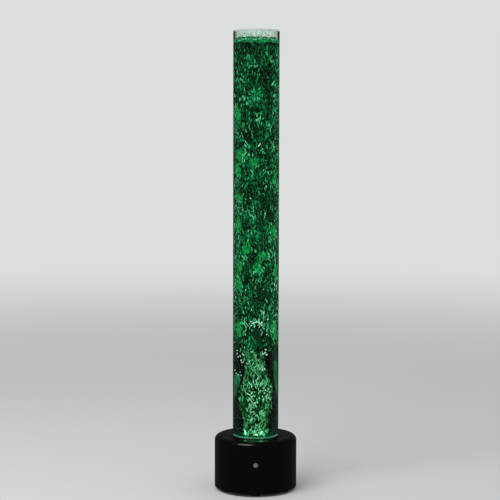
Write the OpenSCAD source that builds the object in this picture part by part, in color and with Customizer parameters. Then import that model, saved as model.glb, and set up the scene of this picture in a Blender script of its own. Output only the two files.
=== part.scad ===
// Bubble tube floor lamp: a clear tube of water on a round base. An air pump in the base feeds a ring of
// jets in the tube's clear floor, and a board of coloured light packages shines up through that floor.
// The origin is at floor level under the tube's axis, +Z is up and the push button faces -Y.

/* [Water tube] */
// Outer diameter of the clear tube
tube_d = 200; // [186:2:206]
// Wall of the clear tube
tube_wall = 5; // [4:0.5:6]
// Length of tube that shows above the base
tube_show = 1755; // [900:5:2200]
// Depth from the rim down to the water
fill_gap = 38; // [20:1:90]
// Height over the jets at which the rising bubbles fill the tube
plume_h = 370; // [250:10:450]
// Depth of the froth on the water
froth_h = 12; // [6:1:16]
// Thickness of the clear floor bonded in the tube
floor_t = 20; // [16:1:24]
// Height of the floor's top above the collar
floor_rise = 3; // [0:0.5:10]
// Thickness of the lid
lid_t = 5; // [3:0.5:8]
// Depth of the lid's locating ring
lid_ring_h = 6; // [4:1:15]
// Radial play of the lid's locating ring
lid_play = 0.5; // [0.3:0.1:1.5]

/* [Base casing] */
// Outer diameter of the base
base_d = 360; // [352:2:400]
// Height of the base with its collar
base_h = 240; // [236:1:280]
// Wall of the moulded casing
shell_wall = 4; // [3:0.5:5]
// Radius of the casing's shoulder
shoulder_r = 22; // [12:1:30]
// Height of the collar round the tube
collar_h = 3; // [3:0.5:6]
// Width of the collar round the tube
collar_w = 16; // [15:1:24]
// Thickness of the casing's rim under the collar
rim_t = 8; // [7:0.5:14]
// Height of the rubber seal under the collar
seal_h = 5; // [2:0.5:6]
// Number of screws in the collar
collar_screws_n = 6; // [4:1:12]

/* [Base frame] */
// Height of the rubber feet
foot_h = 12; // [9:1:20]
// Diameter of the rubber feet
foot_d = 36; // [26:1:44]
// Distance of the feet from the axis
foot_ring = 145; // [140:1:150]
// Number of feet
foot_n = 6; // [6:1:6]
// Thickness of the steel base plate
plate_t = 6; // [4:0.5:8]
// Thickness of the deck that carries the tube
deck_t = 12; // [10:1:16]
// Space for the lights between deck and tube floor
light_room = 46; // [42:1:60]
// Diameter of the posts under the deck
post_d = 16; // [12:1:18]
// Thickness of the rubber pad under the tube
pad_t = 2; // [1:0.5:3]

/* [Air] */
// Number of jets in the ring round the middle one
jet_n = 6; // [3:1:8]
// Distance of the ring's jets from the axis
jet_ring = 25; // [18:1:26]
// Diameter of a jet's head
jet_head_d = 14; // [10:1:15]
// Bore of a jet
jet_bore = 1.6; // [0.8:0.2:2.6]
// Depth of the air chamber under the floor
chamber_h = 18; // [14:1:20]
// Bore of the air hose
air_hose_id = 10.4; // [8:0.4:12]
// Wall of the air hose
air_hose_wall = 2; // [1.5:0.5:3]
// Bend radius of the air hose at the pump
air_bend_r = 35; // [30:1:40]
// Length of the air pump
pump_l = 128; // [100:1:132]
// Width of the air pump
pump_w = 80; // [66:1:84]
// Height of the air pump's case
pump_case_h = 50; // [44:1:56]
// Height of the air pump's cover
pump_cover_h = 20; // [14:1:26]

/* [Lights] */
// Number of light packages
led_n = 12; // [6:1:12]
// Side of a light package
led_w = 7; // [5:0.5:8]
// Distance from the tube's bore in to the light packages
led_inset = 25; // [22:1:30]
// Thickness of the circuit boards
board_t = 1.6; // [1:0.2:2.4]
// Height of the light board's standoffs
led_stand_h = 28; // [22:1:30]

/* [Drain] */
// Bore of the drain
drain_bore = 12; // [8:1:13]
// Bore of the drain hose
drain_hose_id = 16.6; // [16:0.2:17.4]
// Wall of the drain hose
drain_hose_wall = 2.2; // [1.8:0.2:3]
// Height of the drain spigot above the floor
spigot_z = 46; // [44:1:50]
// Outer diameter of the drain spigot
spigot_d = 16; // [15:0.5:18]
// Length of the drain spigot past its collar
spigot_l = 21; // [16:1:23]
// Diameter of the valve's ball
ball_d = 20; // [18:1:21]
// Length of the valve's lever from the stem
lever_l = 46; // [34:1:48]

/* [Controls] */
// Height of the push button above the floor
button_z = 140; // [120:1:170]
// Diameter of the push button's cap
cap_d = 20; // [16:1:22]
// Travel of the push button
button_travel = 2.5; // [1.5:0.5:3.5]
// Width of the service recess
recess_w = 180; // [172:2:184]
// Height of the service recess's lower edge
recess_z0 = 24; // [22:1:26]
// Height of the service recess's upper edge
recess_z1 = 150; // [148:1:156]
// Depth from the back of the base to the panel's seat
recess_depth = 31; // [30:1:34]
// Thickness of the service panel
panel_t = 3; // [2:0.5:4]
// Tilt of the power rocker each way
rocker_tilt = 9; // [5:1:10]
// Number of cooling slots on each side
slot_n = 6; // [3:1:7]
// Width of a cooling slot
slot_w = 4; // [2:0.5:5]
// Length of a cooling slot
slot_l = 46; // [20:1:80]

/* [Hidden] */
$fn = 96;

// Clearances
bond = 0.1;     // glue line
slip = 0.3;     // between pieces that only pass each other
run = 0.08;     // running fit of a pivot
thread = 0.05;  // screw in its hole
cut = 1;        // how far a cutting solid runs past a face

// Colours
clear_acrylic = [0.75, 0.95, 0.88, 0.35];
water_green = [0.02, 0.45, 0.22, 0.45];
bubble_green = [0.10, 0.62, 0.34];
casing_black = [0.045, 0.042, 0.042];
soft_black = [0.07, 0.07, 0.075];
steel_grey = [0.62, 0.63, 0.65];
alloy_grey = [0.78, 0.79, 0.80];
brass_gold = [0.80, 0.66, 0.36];
board_green = [0.05, 0.30, 0.16];
hose_clear = [0.82, 0.84, 0.82, 0.6];
cap_grey = [0.62, 0.58, 0.55];
nylon_white = [0.88, 0.88, 0.86];

// Radii of the tube and of the base
tube_r = tube_d / 2;
tube_ir = tube_r - tube_wall;
base_r = base_d / 2;
base_ir = base_r - shell_wall;

// Heights, from the floor up
plate_z0 = foot_h;
plate_z1 = plate_z0 + plate_t;
shell_z0 = plate_z0 + 1;
shell_z1 = base_h - collar_h;
floor_z1 = base_h + floor_rise;
floor_z0 = floor_z1 - floor_t;
deck_z1 = floor_z0 - light_room;
deck_z0 = deck_z1 - deck_t;
groove_depth = pad_t + 2;
tube_z0 = deck_z1 - groove_depth + pad_t;
tube_z1 = base_h + tube_show;
water_z1 = tube_z1 - fill_gap;

// Screws
m5_r = 2.5;
m4_r = 2;
m3_r = 1.5;
m5_l = 20;
m4_l = 9;
m3_l = 7;
m3_head_h = 2;
screw_drive = 1.1; // half width of a screw's cross recess

// Base plate, posts, deck and feet
plate_r = base_ir - 0.5;
post_ring = tube_r + 13;
post_n = 4;
deck_r = tube_r + 26;
groove_play = 0.5;
air_hole_r = 20;
foot_recess = 4;
foot_round = 3;
boss_ring = base_ir - 6;
boss_r = 7;
boss_h = 62;
boss_angles = [45, 135, 207, 270, 333];

// Collar and seal
collar_play = 0.5;
rim_play = 2;
collar_ir = tube_r + collar_play;
collar_or = collar_ir + collar_w;
seal_or = tube_r + 7.7;
rim_or = collar_or + 5;
collar_screw_ring = collar_or - 4.5;

// Air chamber under the tube floor
jet_shank_r = 4;
jet_seal_t = 1;
jet_head_h = 5;
jet_below = 5;
gasket_t = 1.5;
chamber_r = 38;
chamber_wall = 3;
chamber_rim_r = 46;
chamber_rim_t = 5;
chamber_screw_ring = 42;
chamber_screw_n = 6;
chamber_z1 = floor_z0 - gasket_t;
chamber_z0 = chamber_z1 - chamber_h;
air_barb_l = 15;
air_barb_r = air_hose_id / 2 - 0.1;
air_bore_r = air_barb_r - 2;
air_hose_r = air_hose_id / 2 + air_hose_wall;

// Plume of bubbles
plume_z0 = floor_z1 + jet_seal_t + jet_head_h + slip;
plume_foot_r = jet_ring + jet_head_d / 2 + 2;
plume_skin = 7;
plume_flare = 3;
plume_steps = 16;
froth_round = 3;

// Lights
led_ring = tube_ir - led_inset;
led_board_r = tube_ir - 4;
led_board_ir = chamber_rim_r + 4;
led_stand_ring = led_board_r - 9;
led_stand_n = 6;
led_board_z0 = deck_z1 + led_stand_h;
led_board_z1 = led_board_z0 + board_t;
led_stand_hex = 4;
led_lens_r = 0.4 * led_w;
stud_l = 6;
plate_stud_l = 4;
wire_hole = [-35, -55];
wire_hole_r = 5;

// Service recess and its panel
recess_wall = 3;
flange_w = 10;
panel_y0 = base_r - recess_depth;
panel_y1 = panel_y0 + panel_t;
panel_gap = 0.5;
panel_screw_inset = 5;
panel_boss_l = 9;
panel_corner = 2;
recess_mid = (recess_z0 + recess_z1) / 2;

// Drain line, from the spigot up to the fitting in the tube floor
drain_y = tube_ir - 20;
valve_set_back = 27;
valve_y = panel_y0 - valve_set_back;
elbow_r = 14;
elbow_od_r = drain_bore / 2 + 3.5;
elbow_foot_t = 2;
spigot_collar_r = elbow_od_r + 4;
spigot_collar_t = 3;
valve_cap_t = 5;
valve_r = 14.5;
valve_cavity_r = 12;
cap_z0 = spigot_z + elbow_r + elbow_foot_t;
valve_z0 = cap_z0 + valve_cap_t;
ball_z = valve_z0 + 17;
valve_z1 = ball_z + 16;
seat_h = 6;
seat_gap = 0.15;
seats_reach = ball_d / 2 + 2;
drain_barb_r = drain_hose_id / 2 - 0.3;
drain_barb_l = 16;
drain_hose_r = drain_hose_id / 2 + drain_hose_wall;
hose_bend_z = valve_z1 + drain_barb_l;
hose_bend_r = (valve_y - drain_y) / 2;
drain_flange_r = 14;
drain_flange_t = 3;
drain_flange_edge = 1;
drain_shank_r = 10.5;
drain_nut_h = 10;
drain_nut_r = 15.5;
drain_shank_z0 = floor_z0 - drain_nut_h - 4;
hose_hole_r = drain_hose_r + 2;
neck_r = 8;
stem_r = 4;
neck_y1 = panel_y1 + 5;
gland_r = neck_r + 4;
gland_t = 4;
lever_y0 = neck_y1 + 0.5;
lever_t = 3;
lever_w = 11;
lever_hub_r = 8;
lever_grip = [26, 9, 2];
lever_nut_r = 6.5;
lever_nut_h = 4;
stem_end_l = lever_nut_h + 1;
tongue_w = 3;
tongue_l = 3;

// Push button
bezel_r = cap_d / 2 + 5.5;
bezel_t = 3;
bezel_seat = -1.4;  // the bezel's seat, below the casing's outermost line
lip_t = 2;
cap_skirt = 0.8;
cap_proud = 1.4;
shank_r = cap_d / 2 + 2.6;
shank_l = 28;
bezel_bore_r = cap_d / 2 + cap_skirt + slip;
cap_l = 17;
cap_wall = 2;
cap_top = 3;
cap_dome = 1;
cap_post_r = 2;
cap_face = bezel_seat + bezel_t + cap_proud;
button_boss_r = shank_r + 7;
button_boss_t = 5;
button_nut_h = 4;
button_nut_r = shank_r + 4;
switch_l = 20;
switch_plug_l = 3;
plunger_r = 3;
button_tab = [3, 1, 5];
button_tab_x = 5;

// Power inlet and rocker switch
inlet_x = -50;
inlet_z = 92;
inlet_flange = [48, 26];
inlet_flange_t = 3;
inlet_corner = 6;
inlet_body = [28, 20];
inlet_body_l = 30;
inlet_mouth = [24.4, 16.4];
inlet_depth = 16;
inlet_screw_x = 20;
blade = [2, 4];
blade_set_back = 5;
blade_tail = 8;
blade_at = [[0, 3], [-7, -2], [7, -2]];
rocker_x = 68;
rocker_z = 100;
rocker_flange = [16, 22];
rocker_flange_t = 2;
rocker_corner = 1.5;
rocker_body = [14, 19.4];
rocker_body_l = 21;
rocker_open = [11.6, 17.8];
rocker_depth = 16.6;
paddle_w = 11;
paddle_r = 8.6;
paddle_face = 6.6;
pivot_r = 1.2;
pivot_l = 6.7;
pivot_y = panel_y1 + rocker_flange_t - paddle_face;
switch_tab = [0.8, 4.8];
switch_tab_l = 7;
switch_tab_z = [-5, 5];

// Power supply
supply = [64, 110, 32];
supply_x = 76;
terminals = [50, 9, 14];
terminal_z = 6;
terminal_n = 5;

// Control board
control = [100, 70];
control_y = -120;
control_stand_h = 8;
control_stand_hex = 3.5;
control_inset = 5;
control_z0 = plate_z1 + control_stand_h;
control_z1 = control_z0 + board_t;

// Air pump
pump_foot_h = 8;
pump_foot_r = 7;
pump_foot_inset = 14;
pump_wall = 3;
pump_corner = 10;
pump_rib_t = 2;
pump_rib_n = 9;
pump_groove = [2, 1];
pump_z0 = plate_z1 + pump_foot_h;
pump_z1 = pump_z0 + pump_case_h;
pump_z2 = pump_z1 + pump_cover_h;
head_size = [10, 48, 36];
outlet_l = 14;
outlet_drop = 13; // from the cover's seam down to the outlet
hose_free_l = 6;  // hose between a tail's end and a bend
outlet_z = pump_z1 - outlet_drop;
pump_x1 = -(air_bend_r + hose_free_l + outlet_l + head_size.x + 5);
pump_x0 = pump_x1 - pump_w;
check_z0 = outlet_z + air_bend_r + hose_free_l + outlet_l;
check_h = 30;
check_r = 11;
check_seam = 1;
check_edge = 2;
membrane_t = 1;

// Hose clips
clip_h = 6;
clip_t = 1;

// Cooling slots
slot_z = 60;
slot_step = 5;
slot_start = 10;

// Wires
mains_wire_r = 2.6;
signal_wire_r = 1.6;
wire_sides = 8;
wire_steps = 14;

// ---------------------------------------------------------------- shared shapes

// Ring with square edges
module ring(r_out, r_in, h) {
    difference() {
        cylinder(r = r_out, h = h);
        translate([0, 0, -cut]) cylinder(r = r_in, h = h + 2 * cut);
    }
}

// Half section of a disc whose upper rim is rounded
module round_section(r, h, edge) {
    square([r - edge, h]);
    square([r, h - edge]);
    translate([r - edge, h - edge]) circle(r = edge);
}

// Disc whose upper rim is rounded
module round_disc(r, h, edge) {
    rotate_extrude() intersection() {
        round_section(r, h, edge);
        square([r, h]);
    }
}

// Rectangle centred on the axis, with rounded corners
module rounded_rect(size, corner) {
    square([size.x - 2 * corner, size.y], center = true);
    square([size.x, size.y - 2 * corner], center = true);
    for (sx = [-1, 1], sy = [-1, 1])
        translate([sx * (size.x / 2 - corner), sy * (size.y / 2 - corner)]) circle(r = corner);
}

// Copies of a child on a circle
module on_ring(r, n, start = 0) {
    for (i = [0:n - 1]) rotate([0, 0, start + i * 360 / n]) translate([r, 0, 0]) children();
}

// Local +Z points out of the front, local +Y stays up
module at_front(z) {
    translate([0, -base_r, z]) rotate([90, 0, 0]) children();
}

// Local +Z points out of the back, local +Y stays up
module at_back(x, y, z) {
    translate([x, y, z]) rotate([90, 0, 180]) children();
}

// Hexagon prism by its corner radius
module hex(r, h) {
    cylinder(r = r, h = h, $fn = 6);
}

// Countersunk screw, its head's face at the origin and its shank along -Z
module csk_screw(r, l) {
    difference() {
        union() {
            translate([0, 0, -r]) cylinder(r1 = r, r2 = 2 * r, h = r);
            translate([0, 0, -l]) cylinder(r = r, h = l - r / 2);
        }
        cross_recess(r);
    }
}

// Room for a countersunk screw
module csk_hole(r, l) {
    translate([0, 0, -r - thread]) cylinder(r1 = r + thread, r2 = 2 * r + thread, h = r + thread);
    cylinder(r = 2 * r + thread, h = cut);
    translate([0, 0, -l - thread]) cylinder(r = r + thread, h = l);
}

// Pan-head screw, the underside of its head at the origin and its shank along -Z
module pan_screw(r, l, head_h) {
    difference() {
        union() {
            round_disc(1.9 * r, head_h, head_h / 2);
            translate([0, 0, -l]) cylinder(r = r, h = l + head_h / 2);
        }
        translate([0, 0, head_h]) cross_recess(r);
    }
}

// Cross recess cut down from the origin
module cross_recess(r) {
    for (turn = [0, 90]) rotate([0, 0, turn])
        translate([-screw_drive * r / 2, -screw_drive * r / 6, -r / 2])
            cube([screw_drive * r, screw_drive * r / 3, r / 2 + cut]);
}

// Hose tail of radius r along +Z, with a bore and three sharp ridges
module hose_tail(r, l, bore_r) {
    ridge_n = 3;
    pitch = l / ridge_n;
    relief = 0.5;
    difference() {
        union() {
            cylinder(r = r - relief, h = l);
            for (i = [0:ridge_n - 1]) translate([0, 0, i * pitch])
                cylinder(r1 = r, r2 = r - relief, h = pitch);
        }
        translate([0, 0, -cut]) cylinder(r = bore_r, h = l + 2 * cut);
    }
}

// Quarter of a pipe's bend: it leaves the origin along -Z and ends along +X, at [bend, 0, -bend]
module pipe_bend(r_out, r_in, bend) {
    translate([bend, 0, 0]) rotate([-90, 0, 0]) rotate([0, 0, 90])
        rotate_extrude(angle = 90) translate([bend, 0]) difference() {
            circle(r = r_out);
            if (r_in > 0) circle(r = r_in);
        }
}

function unit(v) = v / norm(v);

// Points of a curve from a to b that leaves a along a_way and comes to b against b_way
function curve(a, a_way, b, b_way) = [for (i = [0:wire_steps]) let (t = i / wire_steps, u = 1 - t)
    u * u * (u + 3 * t) * a + 3 * t * u * u * a_way + t * t * (t + 3 * u) * b + 3 * t * t * u * b_way];
function headings(path, a_way, b_way) = let (last = len(path) - 1)
    [for (i = [0:last]) unit(i == 0 ? a_way : i == last ? -b_way : path[i + 1] - path[i - 1])];
function square_to(t) = unit(cross(t, abs(t.z) < 0.7 ? [0, 0, 1] : [1, 0, 0]));
function sides_of(heads, u, i = 0) = i == len(heads) ? [] :
    let (v = unit(u - (u * heads[i]) * heads[i]))
    concat([[v, cross(heads[i], v)]], sides_of(heads, v, i + 1));

// Round wire swept along such a curve, with square ends
module wire(a, a_way, b, b_way, r) {
    path = curve(a, a_way, b, b_way);
    n = len(path);
    heads = headings(path, a_way, b_way);
    frame = sides_of(heads, square_to(heads[0]));
    polyhedron(
        [for (i = [0:n - 1], k = [0:wire_sides - 1]) let (a = 360 * k / wire_sides)
            path[i] + r * (cos(a) * frame[i][0] + sin(a) * frame[i][1])],
        concat(
            [[for (k = [0:wire_sides - 1]) k]],
            [for (i = [0:n - 2], k = [0:wire_sides - 1]) let (a = i * wire_sides, b = (k + 1) % wire_sides)
                [a + k, a + wire_sides + k, a + wire_sides + b, a + b]],
            [[for (k = [wire_sides - 1:-1:0]) (n - 1) * wire_sides + k]]));
}

// ---------------------------------------------------------------- water tube

module outer_tube() {
    color(clear_acrylic) translate([0, 0, tube_z0]) ring(tube_r, tube_ir, tube_z1 - tube_z0);
}

lid_round = 1.5;
lid_ring_t = 4;
lid_vent_r = 2.5;
lid_vent_n = 6;
lid_vent_ring = 60;

module tube_lid() {
    ring_r = tube_ir - lid_play;
    color(clear_acrylic) difference() {
        union() {
            translate([0, 0, tube_z1]) round_disc(tube_r, lid_t, lid_round);
            translate([0, 0, tube_z1 - lid_ring_h]) ring(ring_r, ring_r - lid_ring_t, lid_ring_h + lid_t / 2);
        }
        on_ring(lid_vent_ring, lid_vent_n) translate([0, 0, tube_z1 - cut])
            cylinder(r = lid_vent_r, h = lid_t + 2 * cut);
    }
}

module tube_floor() {
    color(clear_acrylic) difference() {
        translate([0, 0, floor_z0]) cylinder(r = tube_ir - bond, h = floor_t);
        for_each_jet() translate([0, 0, floor_z0 - cut])
            cylinder(r = jet_shank_r + thread, h = floor_t + 2 * cut);
        translate([0, drain_y, floor_z0 - cut]) cylinder(r = drain_shank_r + thread, h = floor_t + 2 * cut);
        on_ring(chamber_screw_ring, chamber_screw_n) translate([0, 0, floor_z0 - cut])
            cylinder(r = m3_r + thread, h = m3_l + 2 * cut);
    }
}

// Clear water: all of it at the foot, round the plume, and a skin on the tube's wall higher up
module water() {
    color(water_green) difference() {
        translate([0, 0, floor_z1 + slip])
            cylinder(r = tube_ir - slip, h = water_z1 - froth_h - floor_z1 - slip);
        bubble_column(cut);
        for_each_jet() translate([0, 0, floor_z1])
            cylinder(r = jet_head_d / 2 + slip, h = plume_z0 - floor_z1 + cut);
        translate([0, drain_y, floor_z1])
            cylinder(r = drain_flange_r + slip, h = gasket_t + drain_flange_t + slip);
    }
}

// Radius of the plume at a share of its height: it leaves the jets upright and opens like a trumpet
function plume_r(share) = plume_foot_r + (tube_ir - plume_skin - plume_foot_r) * pow(share, plume_flare);

// Water crowded with bubbles, from the jets to past the froth's underside
module bubble_column(past) {
    top = water_z1 - froth_h + past;
    rotate_extrude() polygon(concat(
        [[0, plume_z0]],
        [for (i = [0:plume_steps]) [plume_r(i / plume_steps), plume_z0 + plume_h * i / plume_steps]],
        [[tube_ir - plume_skin, top], [0, top]]));
}

// The rising bubbles as one body, with the froth that they heap up on the water
module bubble_plume() {
    color(bubble_green) {
        bubble_column(froth_h / 2);
        translate([0, 0, water_z1 - froth_h]) round_disc(tube_ir - slip, froth_h, froth_round);
    }
}

// ---------------------------------------------------------------- air jets and their chamber

module for_each_jet() {
    children();
    on_ring(jet_ring, jet_n) children();
}

module air_jets() {
    color(nylon_white) for_each_jet() difference() {
        union() {
            translate([0, 0, floor_z1 + jet_seal_t]) round_disc(jet_head_d / 2, jet_head_h, jet_head_h / 2);
            translate([0, 0, floor_z0 - jet_below])
                cylinder(r = jet_shank_r, h = floor_t + jet_below + jet_seal_t + cut);
        }
        translate([0, 0, floor_z0 - jet_below - cut])
            cylinder(r = jet_bore / 2, h = floor_t + jet_below + jet_head_h + jet_seal_t + 2 * cut);
    }
}

module jet_seals() {
    color(soft_black) for_each_jet() translate([0, 0, floor_z1])
        ring(jet_head_d / 2 - 0.5, jet_shank_r + thread, jet_seal_t);
}

module air_chamber() {
    color(nylon_white) difference() {
        union() {
            translate([0, 0, chamber_z0]) cylinder(r = chamber_r, h = chamber_h);
            translate([0, 0, chamber_z1 - chamber_rim_t]) cylinder(r = chamber_rim_r, h = chamber_rim_t);
            translate([0, 0, chamber_z0 + cut]) rotate([180, 0, 0])
                hose_tail(air_barb_r, air_barb_l + cut, air_bore_r);
        }
        translate([0, 0, chamber_z0 + chamber_wall]) cylinder(r = chamber_r - chamber_wall, h = chamber_h);
        translate([0, 0, chamber_z0 - air_barb_l - cut]) cylinder(r = air_bore_r, h = chamber_h);
        on_ring(chamber_screw_ring, chamber_screw_n) translate([0, 0, chamber_z1 - chamber_rim_t - cut])
            cylinder(r = m3_r + thread, h = chamber_rim_t + 2 * cut);
    }
}

module chamber_gasket() {
    color(soft_black) difference() {
        translate([0, 0, chamber_z1]) ring(chamber_rim_r, chamber_r - chamber_wall, gasket_t);
        on_ring(chamber_screw_ring, chamber_screw_n) translate([0, 0, chamber_z1 - cut])
            cylinder(r = m3_r + thread, h = gasket_t + 2 * cut);
    }
}

// ---------------------------------------------------------------- lights

module led_board() {
    color(nylon_white) difference() {
        translate([0, 0, led_board_z0]) ring(led_board_r, led_board_ir, board_t);
        translate([0, drain_y, led_board_z0 - cut]) cylinder(r = hose_hole_r, h = board_t + 2 * cut);
        on_ring(led_stand_ring, led_stand_n) translate([0, 0, led_board_z0 - cut])
            cylinder(r = m3_r + thread, h = board_t + 2 * cut);
    }
}

led_h = 1.6;
led_lens_h = 0.8;

module led_packages() {
    color([0.95, 0.93, 0.80]) on_ring(led_ring, led_n, 180 / led_n) translate([0, 0, led_board_z1]) {
        translate([-led_w / 2, -led_w / 2, 0]) cube([led_w, led_w, led_h]);
        cylinder(r = led_lens_r, h = led_h + led_lens_h);
    }
}

module led_standoffs() {
    color(brass_gold) on_ring(led_stand_ring, led_stand_n) difference() {
        union() {
            translate([0, 0, deck_z1]) hex(led_stand_hex, led_stand_h);
            translate([0, 0, deck_z1 - stud_l]) cylinder(r = m3_r, h = stud_l + cut);
        }
        translate([0, 0, led_board_z0 - m3_l]) cylinder(r = m3_r + thread, h = m3_l + cut);
    }
}

// All the small pan-head screws: light board, control board, air chamber and power inlet
module board_screws() {
    color(steel_grey) {
        on_ring(led_stand_ring, led_stand_n) translate([0, 0, led_board_z1])
            pan_screw(m3_r, m3_l, m3_head_h);
        for_each_control_corner() translate([0, 0, control_z1]) pan_screw(m3_r, m3_l, m3_head_h);
        on_ring(chamber_screw_ring, chamber_screw_n) translate([0, 0, chamber_z1 - chamber_rim_t])
            rotate([180, 0, 0]) pan_screw(m3_r, chamber_rim_t + gasket_t + m3_l - 1, m3_head_h);
        for (sx = [-1, 1]) at_back(inlet_x + sx * inlet_screw_x, panel_y1 + inlet_flange_t, inlet_z)
            pan_screw(m3_r, m3_l, m3_head_h);
    }
}

// ---------------------------------------------------------------- frame of the base

module base_plate() {
    color(steel_grey) difference() {
        translate([0, 0, plate_z0]) cylinder(r = plate_r, h = plate_t);
        on_ring(post_ring, post_n, 45) translate([0, 0, plate_z0]) rotate([180, 0, 0]) csk_hole(m5_r, m5_l);
        for_each_boss() translate([0, 0, plate_z0]) rotate([180, 0, 0]) csk_hole(m5_r, m5_l);
        on_ring(foot_ring, foot_n, 180 / foot_n) translate([0, 0, plate_z0 - cut])
            cylinder(r = m5_r + thread, h = plate_t + 2 * cut);
        for_each_control_corner() translate([0, 0, plate_z1 - plate_stud_l - thread])
            cylinder(r = m3_r + thread, h = plate_stud_l + cut);
    }
}

module deck_posts() {
    hole_l = m5_l - plate_t + cut;
    color(alloy_grey) on_ring(post_ring, post_n, 45) difference() {
        translate([0, 0, plate_z1]) cylinder(r = post_d / 2, h = deck_z0 - plate_z1);
        translate([0, 0, plate_z1 - cut]) cylinder(r = m5_r + thread, h = hole_l + cut);
        translate([0, 0, deck_z0 - hole_l]) cylinder(r = m5_r + thread, h = hole_l + cut);
    }
}

module tube_deck() {
    color(soft_black) difference() {
        translate([0, 0, deck_z0]) cylinder(r = deck_r, h = deck_t);
        translate([0, 0, deck_z1 - groove_depth])
            ring(tube_r + groove_play, tube_ir - groove_play, groove_depth + cut);
        translate([0, 0, deck_z0 - cut]) cylinder(r = air_hole_r, h = deck_t + 2 * cut);
        translate([0, drain_y, deck_z0 - cut]) cylinder(r = hose_hole_r, h = deck_t + 2 * cut);
        translate([wire_hole.x, wire_hole.y, deck_z0 - cut]) cylinder(r = wire_hole_r, h = deck_t + 2 * cut);
        on_ring(led_stand_ring, led_stand_n) translate([0, 0, deck_z1 - stud_l - thread])
            cylinder(r = m3_r + thread, h = stud_l + cut);
        on_ring(post_ring, post_n, 45) translate([0, 0, deck_z1]) csk_hole(m5_r, m5_l);
    }
}

module tube_pad() {
    color(soft_black) translate([0, 0, deck_z1 - groove_depth]) ring(tube_r, tube_ir, pad_t);
}

// Countersunk screws of the posts, the casing and the feet
module plate_screws() {
    color(steel_grey) {
        on_ring(post_ring, post_n, 45) translate([0, 0, plate_z0]) rotate([180, 0, 0]) csk_screw(m5_r, m5_l);
        on_ring(post_ring, post_n, 45) translate([0, 0, deck_z1]) csk_screw(m5_r, m5_l);
        for_each_boss() translate([0, 0, plate_z0]) rotate([180, 0, 0]) csk_screw(m5_r, m5_l);
        on_ring(foot_ring, foot_n, 180 / foot_n) translate([0, 0, foot_recess]) rotate([180, 0, 0])
            csk_screw(m5_r, foot_h - foot_recess + plate_t);
    }
}

module rubber_feet() {
    color(soft_black) on_ring(foot_ring, foot_n, 180 / foot_n) difference() {
        translate([0, 0, foot_h]) rotate([180, 0, 0]) round_disc(foot_d / 2, foot_h, foot_round);
        translate([0, 0, -cut]) cylinder(r = 2 * m5_r + slip, h = foot_recess + cut);
        translate([0, 0, foot_recess]) rotate([180, 0, 0]) csk_hole(m5_r, foot_h);
    }
}

// ---------------------------------------------------------------- casing of the base

module for_each_boss() {
    for (a = boss_angles) rotate([0, 0, a]) translate([boss_ring, 0, 0]) children();
}

// Solid of revolution inside the casing's outline, moved in by inset
module drum(inset, z0) {
    translate([0, 0, z0]) round_disc(base_r - inset, shell_z1 - inset - z0, shoulder_r - inset);
}

// Box of the service recess, from its seat out to the back, grown by a wall
module recess_box(grow, y0, y1) {
    translate([-recess_w / 2 - grow, y0, recess_z0 - grow])
        cube([recess_w + 2 * grow, y1 - y0, recess_z1 - recess_z0 + 2 * grow]);
}

module for_each_panel_corner() {
    for (sx = [-1, 1], z = [recess_z0 + panel_screw_inset, recess_z1 - panel_screw_inset])
        at_back(sx * (recess_w / 2 - panel_screw_inset), panel_y0, z) children();
}

module cooling_slots() {
    for (side = [0, 1], i = [0:slot_n - 1]) mirror([side, 0, 0])
        rotate([0, 0, slot_start + i * slot_step]) translate([base_ir - shell_wall, 0, slot_z]) {
            translate([0, -slot_w / 2, 0]) cube([3 * shell_wall, slot_w, slot_l]);
            for (z = [0, slot_l]) translate([0, 0, z]) rotate([0, 90, 0])
                cylinder(r = slot_w / 2, h = 3 * shell_wall);
        }
}

module base_shell() {
    color(casing_black) difference() {
        union() {
            difference() {
                drum(0, shell_z0);
                drum(shell_wall, shell_z0 - cut);
            }
            translate([0, 0, shell_z1 - rim_t]) cylinder(r = rim_or, h = rim_t);
            intersection() {
                recess_box(recess_wall, panel_y0 - recess_wall, base_r);
                cylinder(r = base_ir + shell_wall / 2, h = shell_z1);
            }
            for_each_panel_corner() translate([0, 0, -recess_wall - panel_boss_l])
                cylinder(r = panel_screw_inset, h = panel_boss_l + cut);
            for_each_boss() translate([0, 0, plate_z1 + slip]) cylinder(r = boss_r, h = boss_h);
            intersection() {
                at_front(button_z) translate([0, 0, -shell_wall - button_boss_t])
                    cylinder(r = button_boss_r, h = button_boss_t + shell_wall / 2);
                cylinder(r = base_ir + shell_wall / 2, h = shell_z1);
            }
        }
        translate([0, 0, shell_z1 - rim_t - cut]) cylinder(r = tube_r + rim_play, h = rim_t + 2 * cut);
        translate([0, 0, shell_z1 - seal_h]) cylinder(r = seal_or + thread, h = seal_h + cut);
        on_ring(collar_screw_ring, collar_screws_n) translate([0, 0, base_h]) csk_hole(m4_r, m4_l);
        recess_box(0, panel_y0, base_r + cut);
        recess_box(-flange_w, panel_y0 - 2 * recess_wall, base_r);
        for_each_panel_corner() translate([0, 0, -m4_l - cut])
            cylinder(r = m4_r + thread, h = m4_l + 2 * cut);
        for_each_boss() translate([0, 0, plate_z1]) cylinder(r = m5_r + thread, h = m5_l - plate_t + cut);
        at_front(button_z) translate([0, 0, bezel_seat]) cylinder(r = bezel_r + slip, h = -bezel_seat + cut);
        at_front(button_z) translate([0, 0, -shell_wall - button_boss_t - cut])
            cylinder(r = shank_r + slip, h = shell_wall + button_boss_t + 2 * cut);
        cooling_slots();
    }
}

module collar_ring() {
    color(casing_black) difference() {
        translate([0, 0, shell_z1]) round_disc(collar_or, collar_h, collar_h / 2);
        translate([0, 0, shell_z1 - cut]) cylinder(r = collar_ir, h = collar_h + 2 * cut);
        on_ring(collar_screw_ring, collar_screws_n) translate([0, 0, base_h]) csk_hole(m4_r, m4_l);
    }
}

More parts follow.
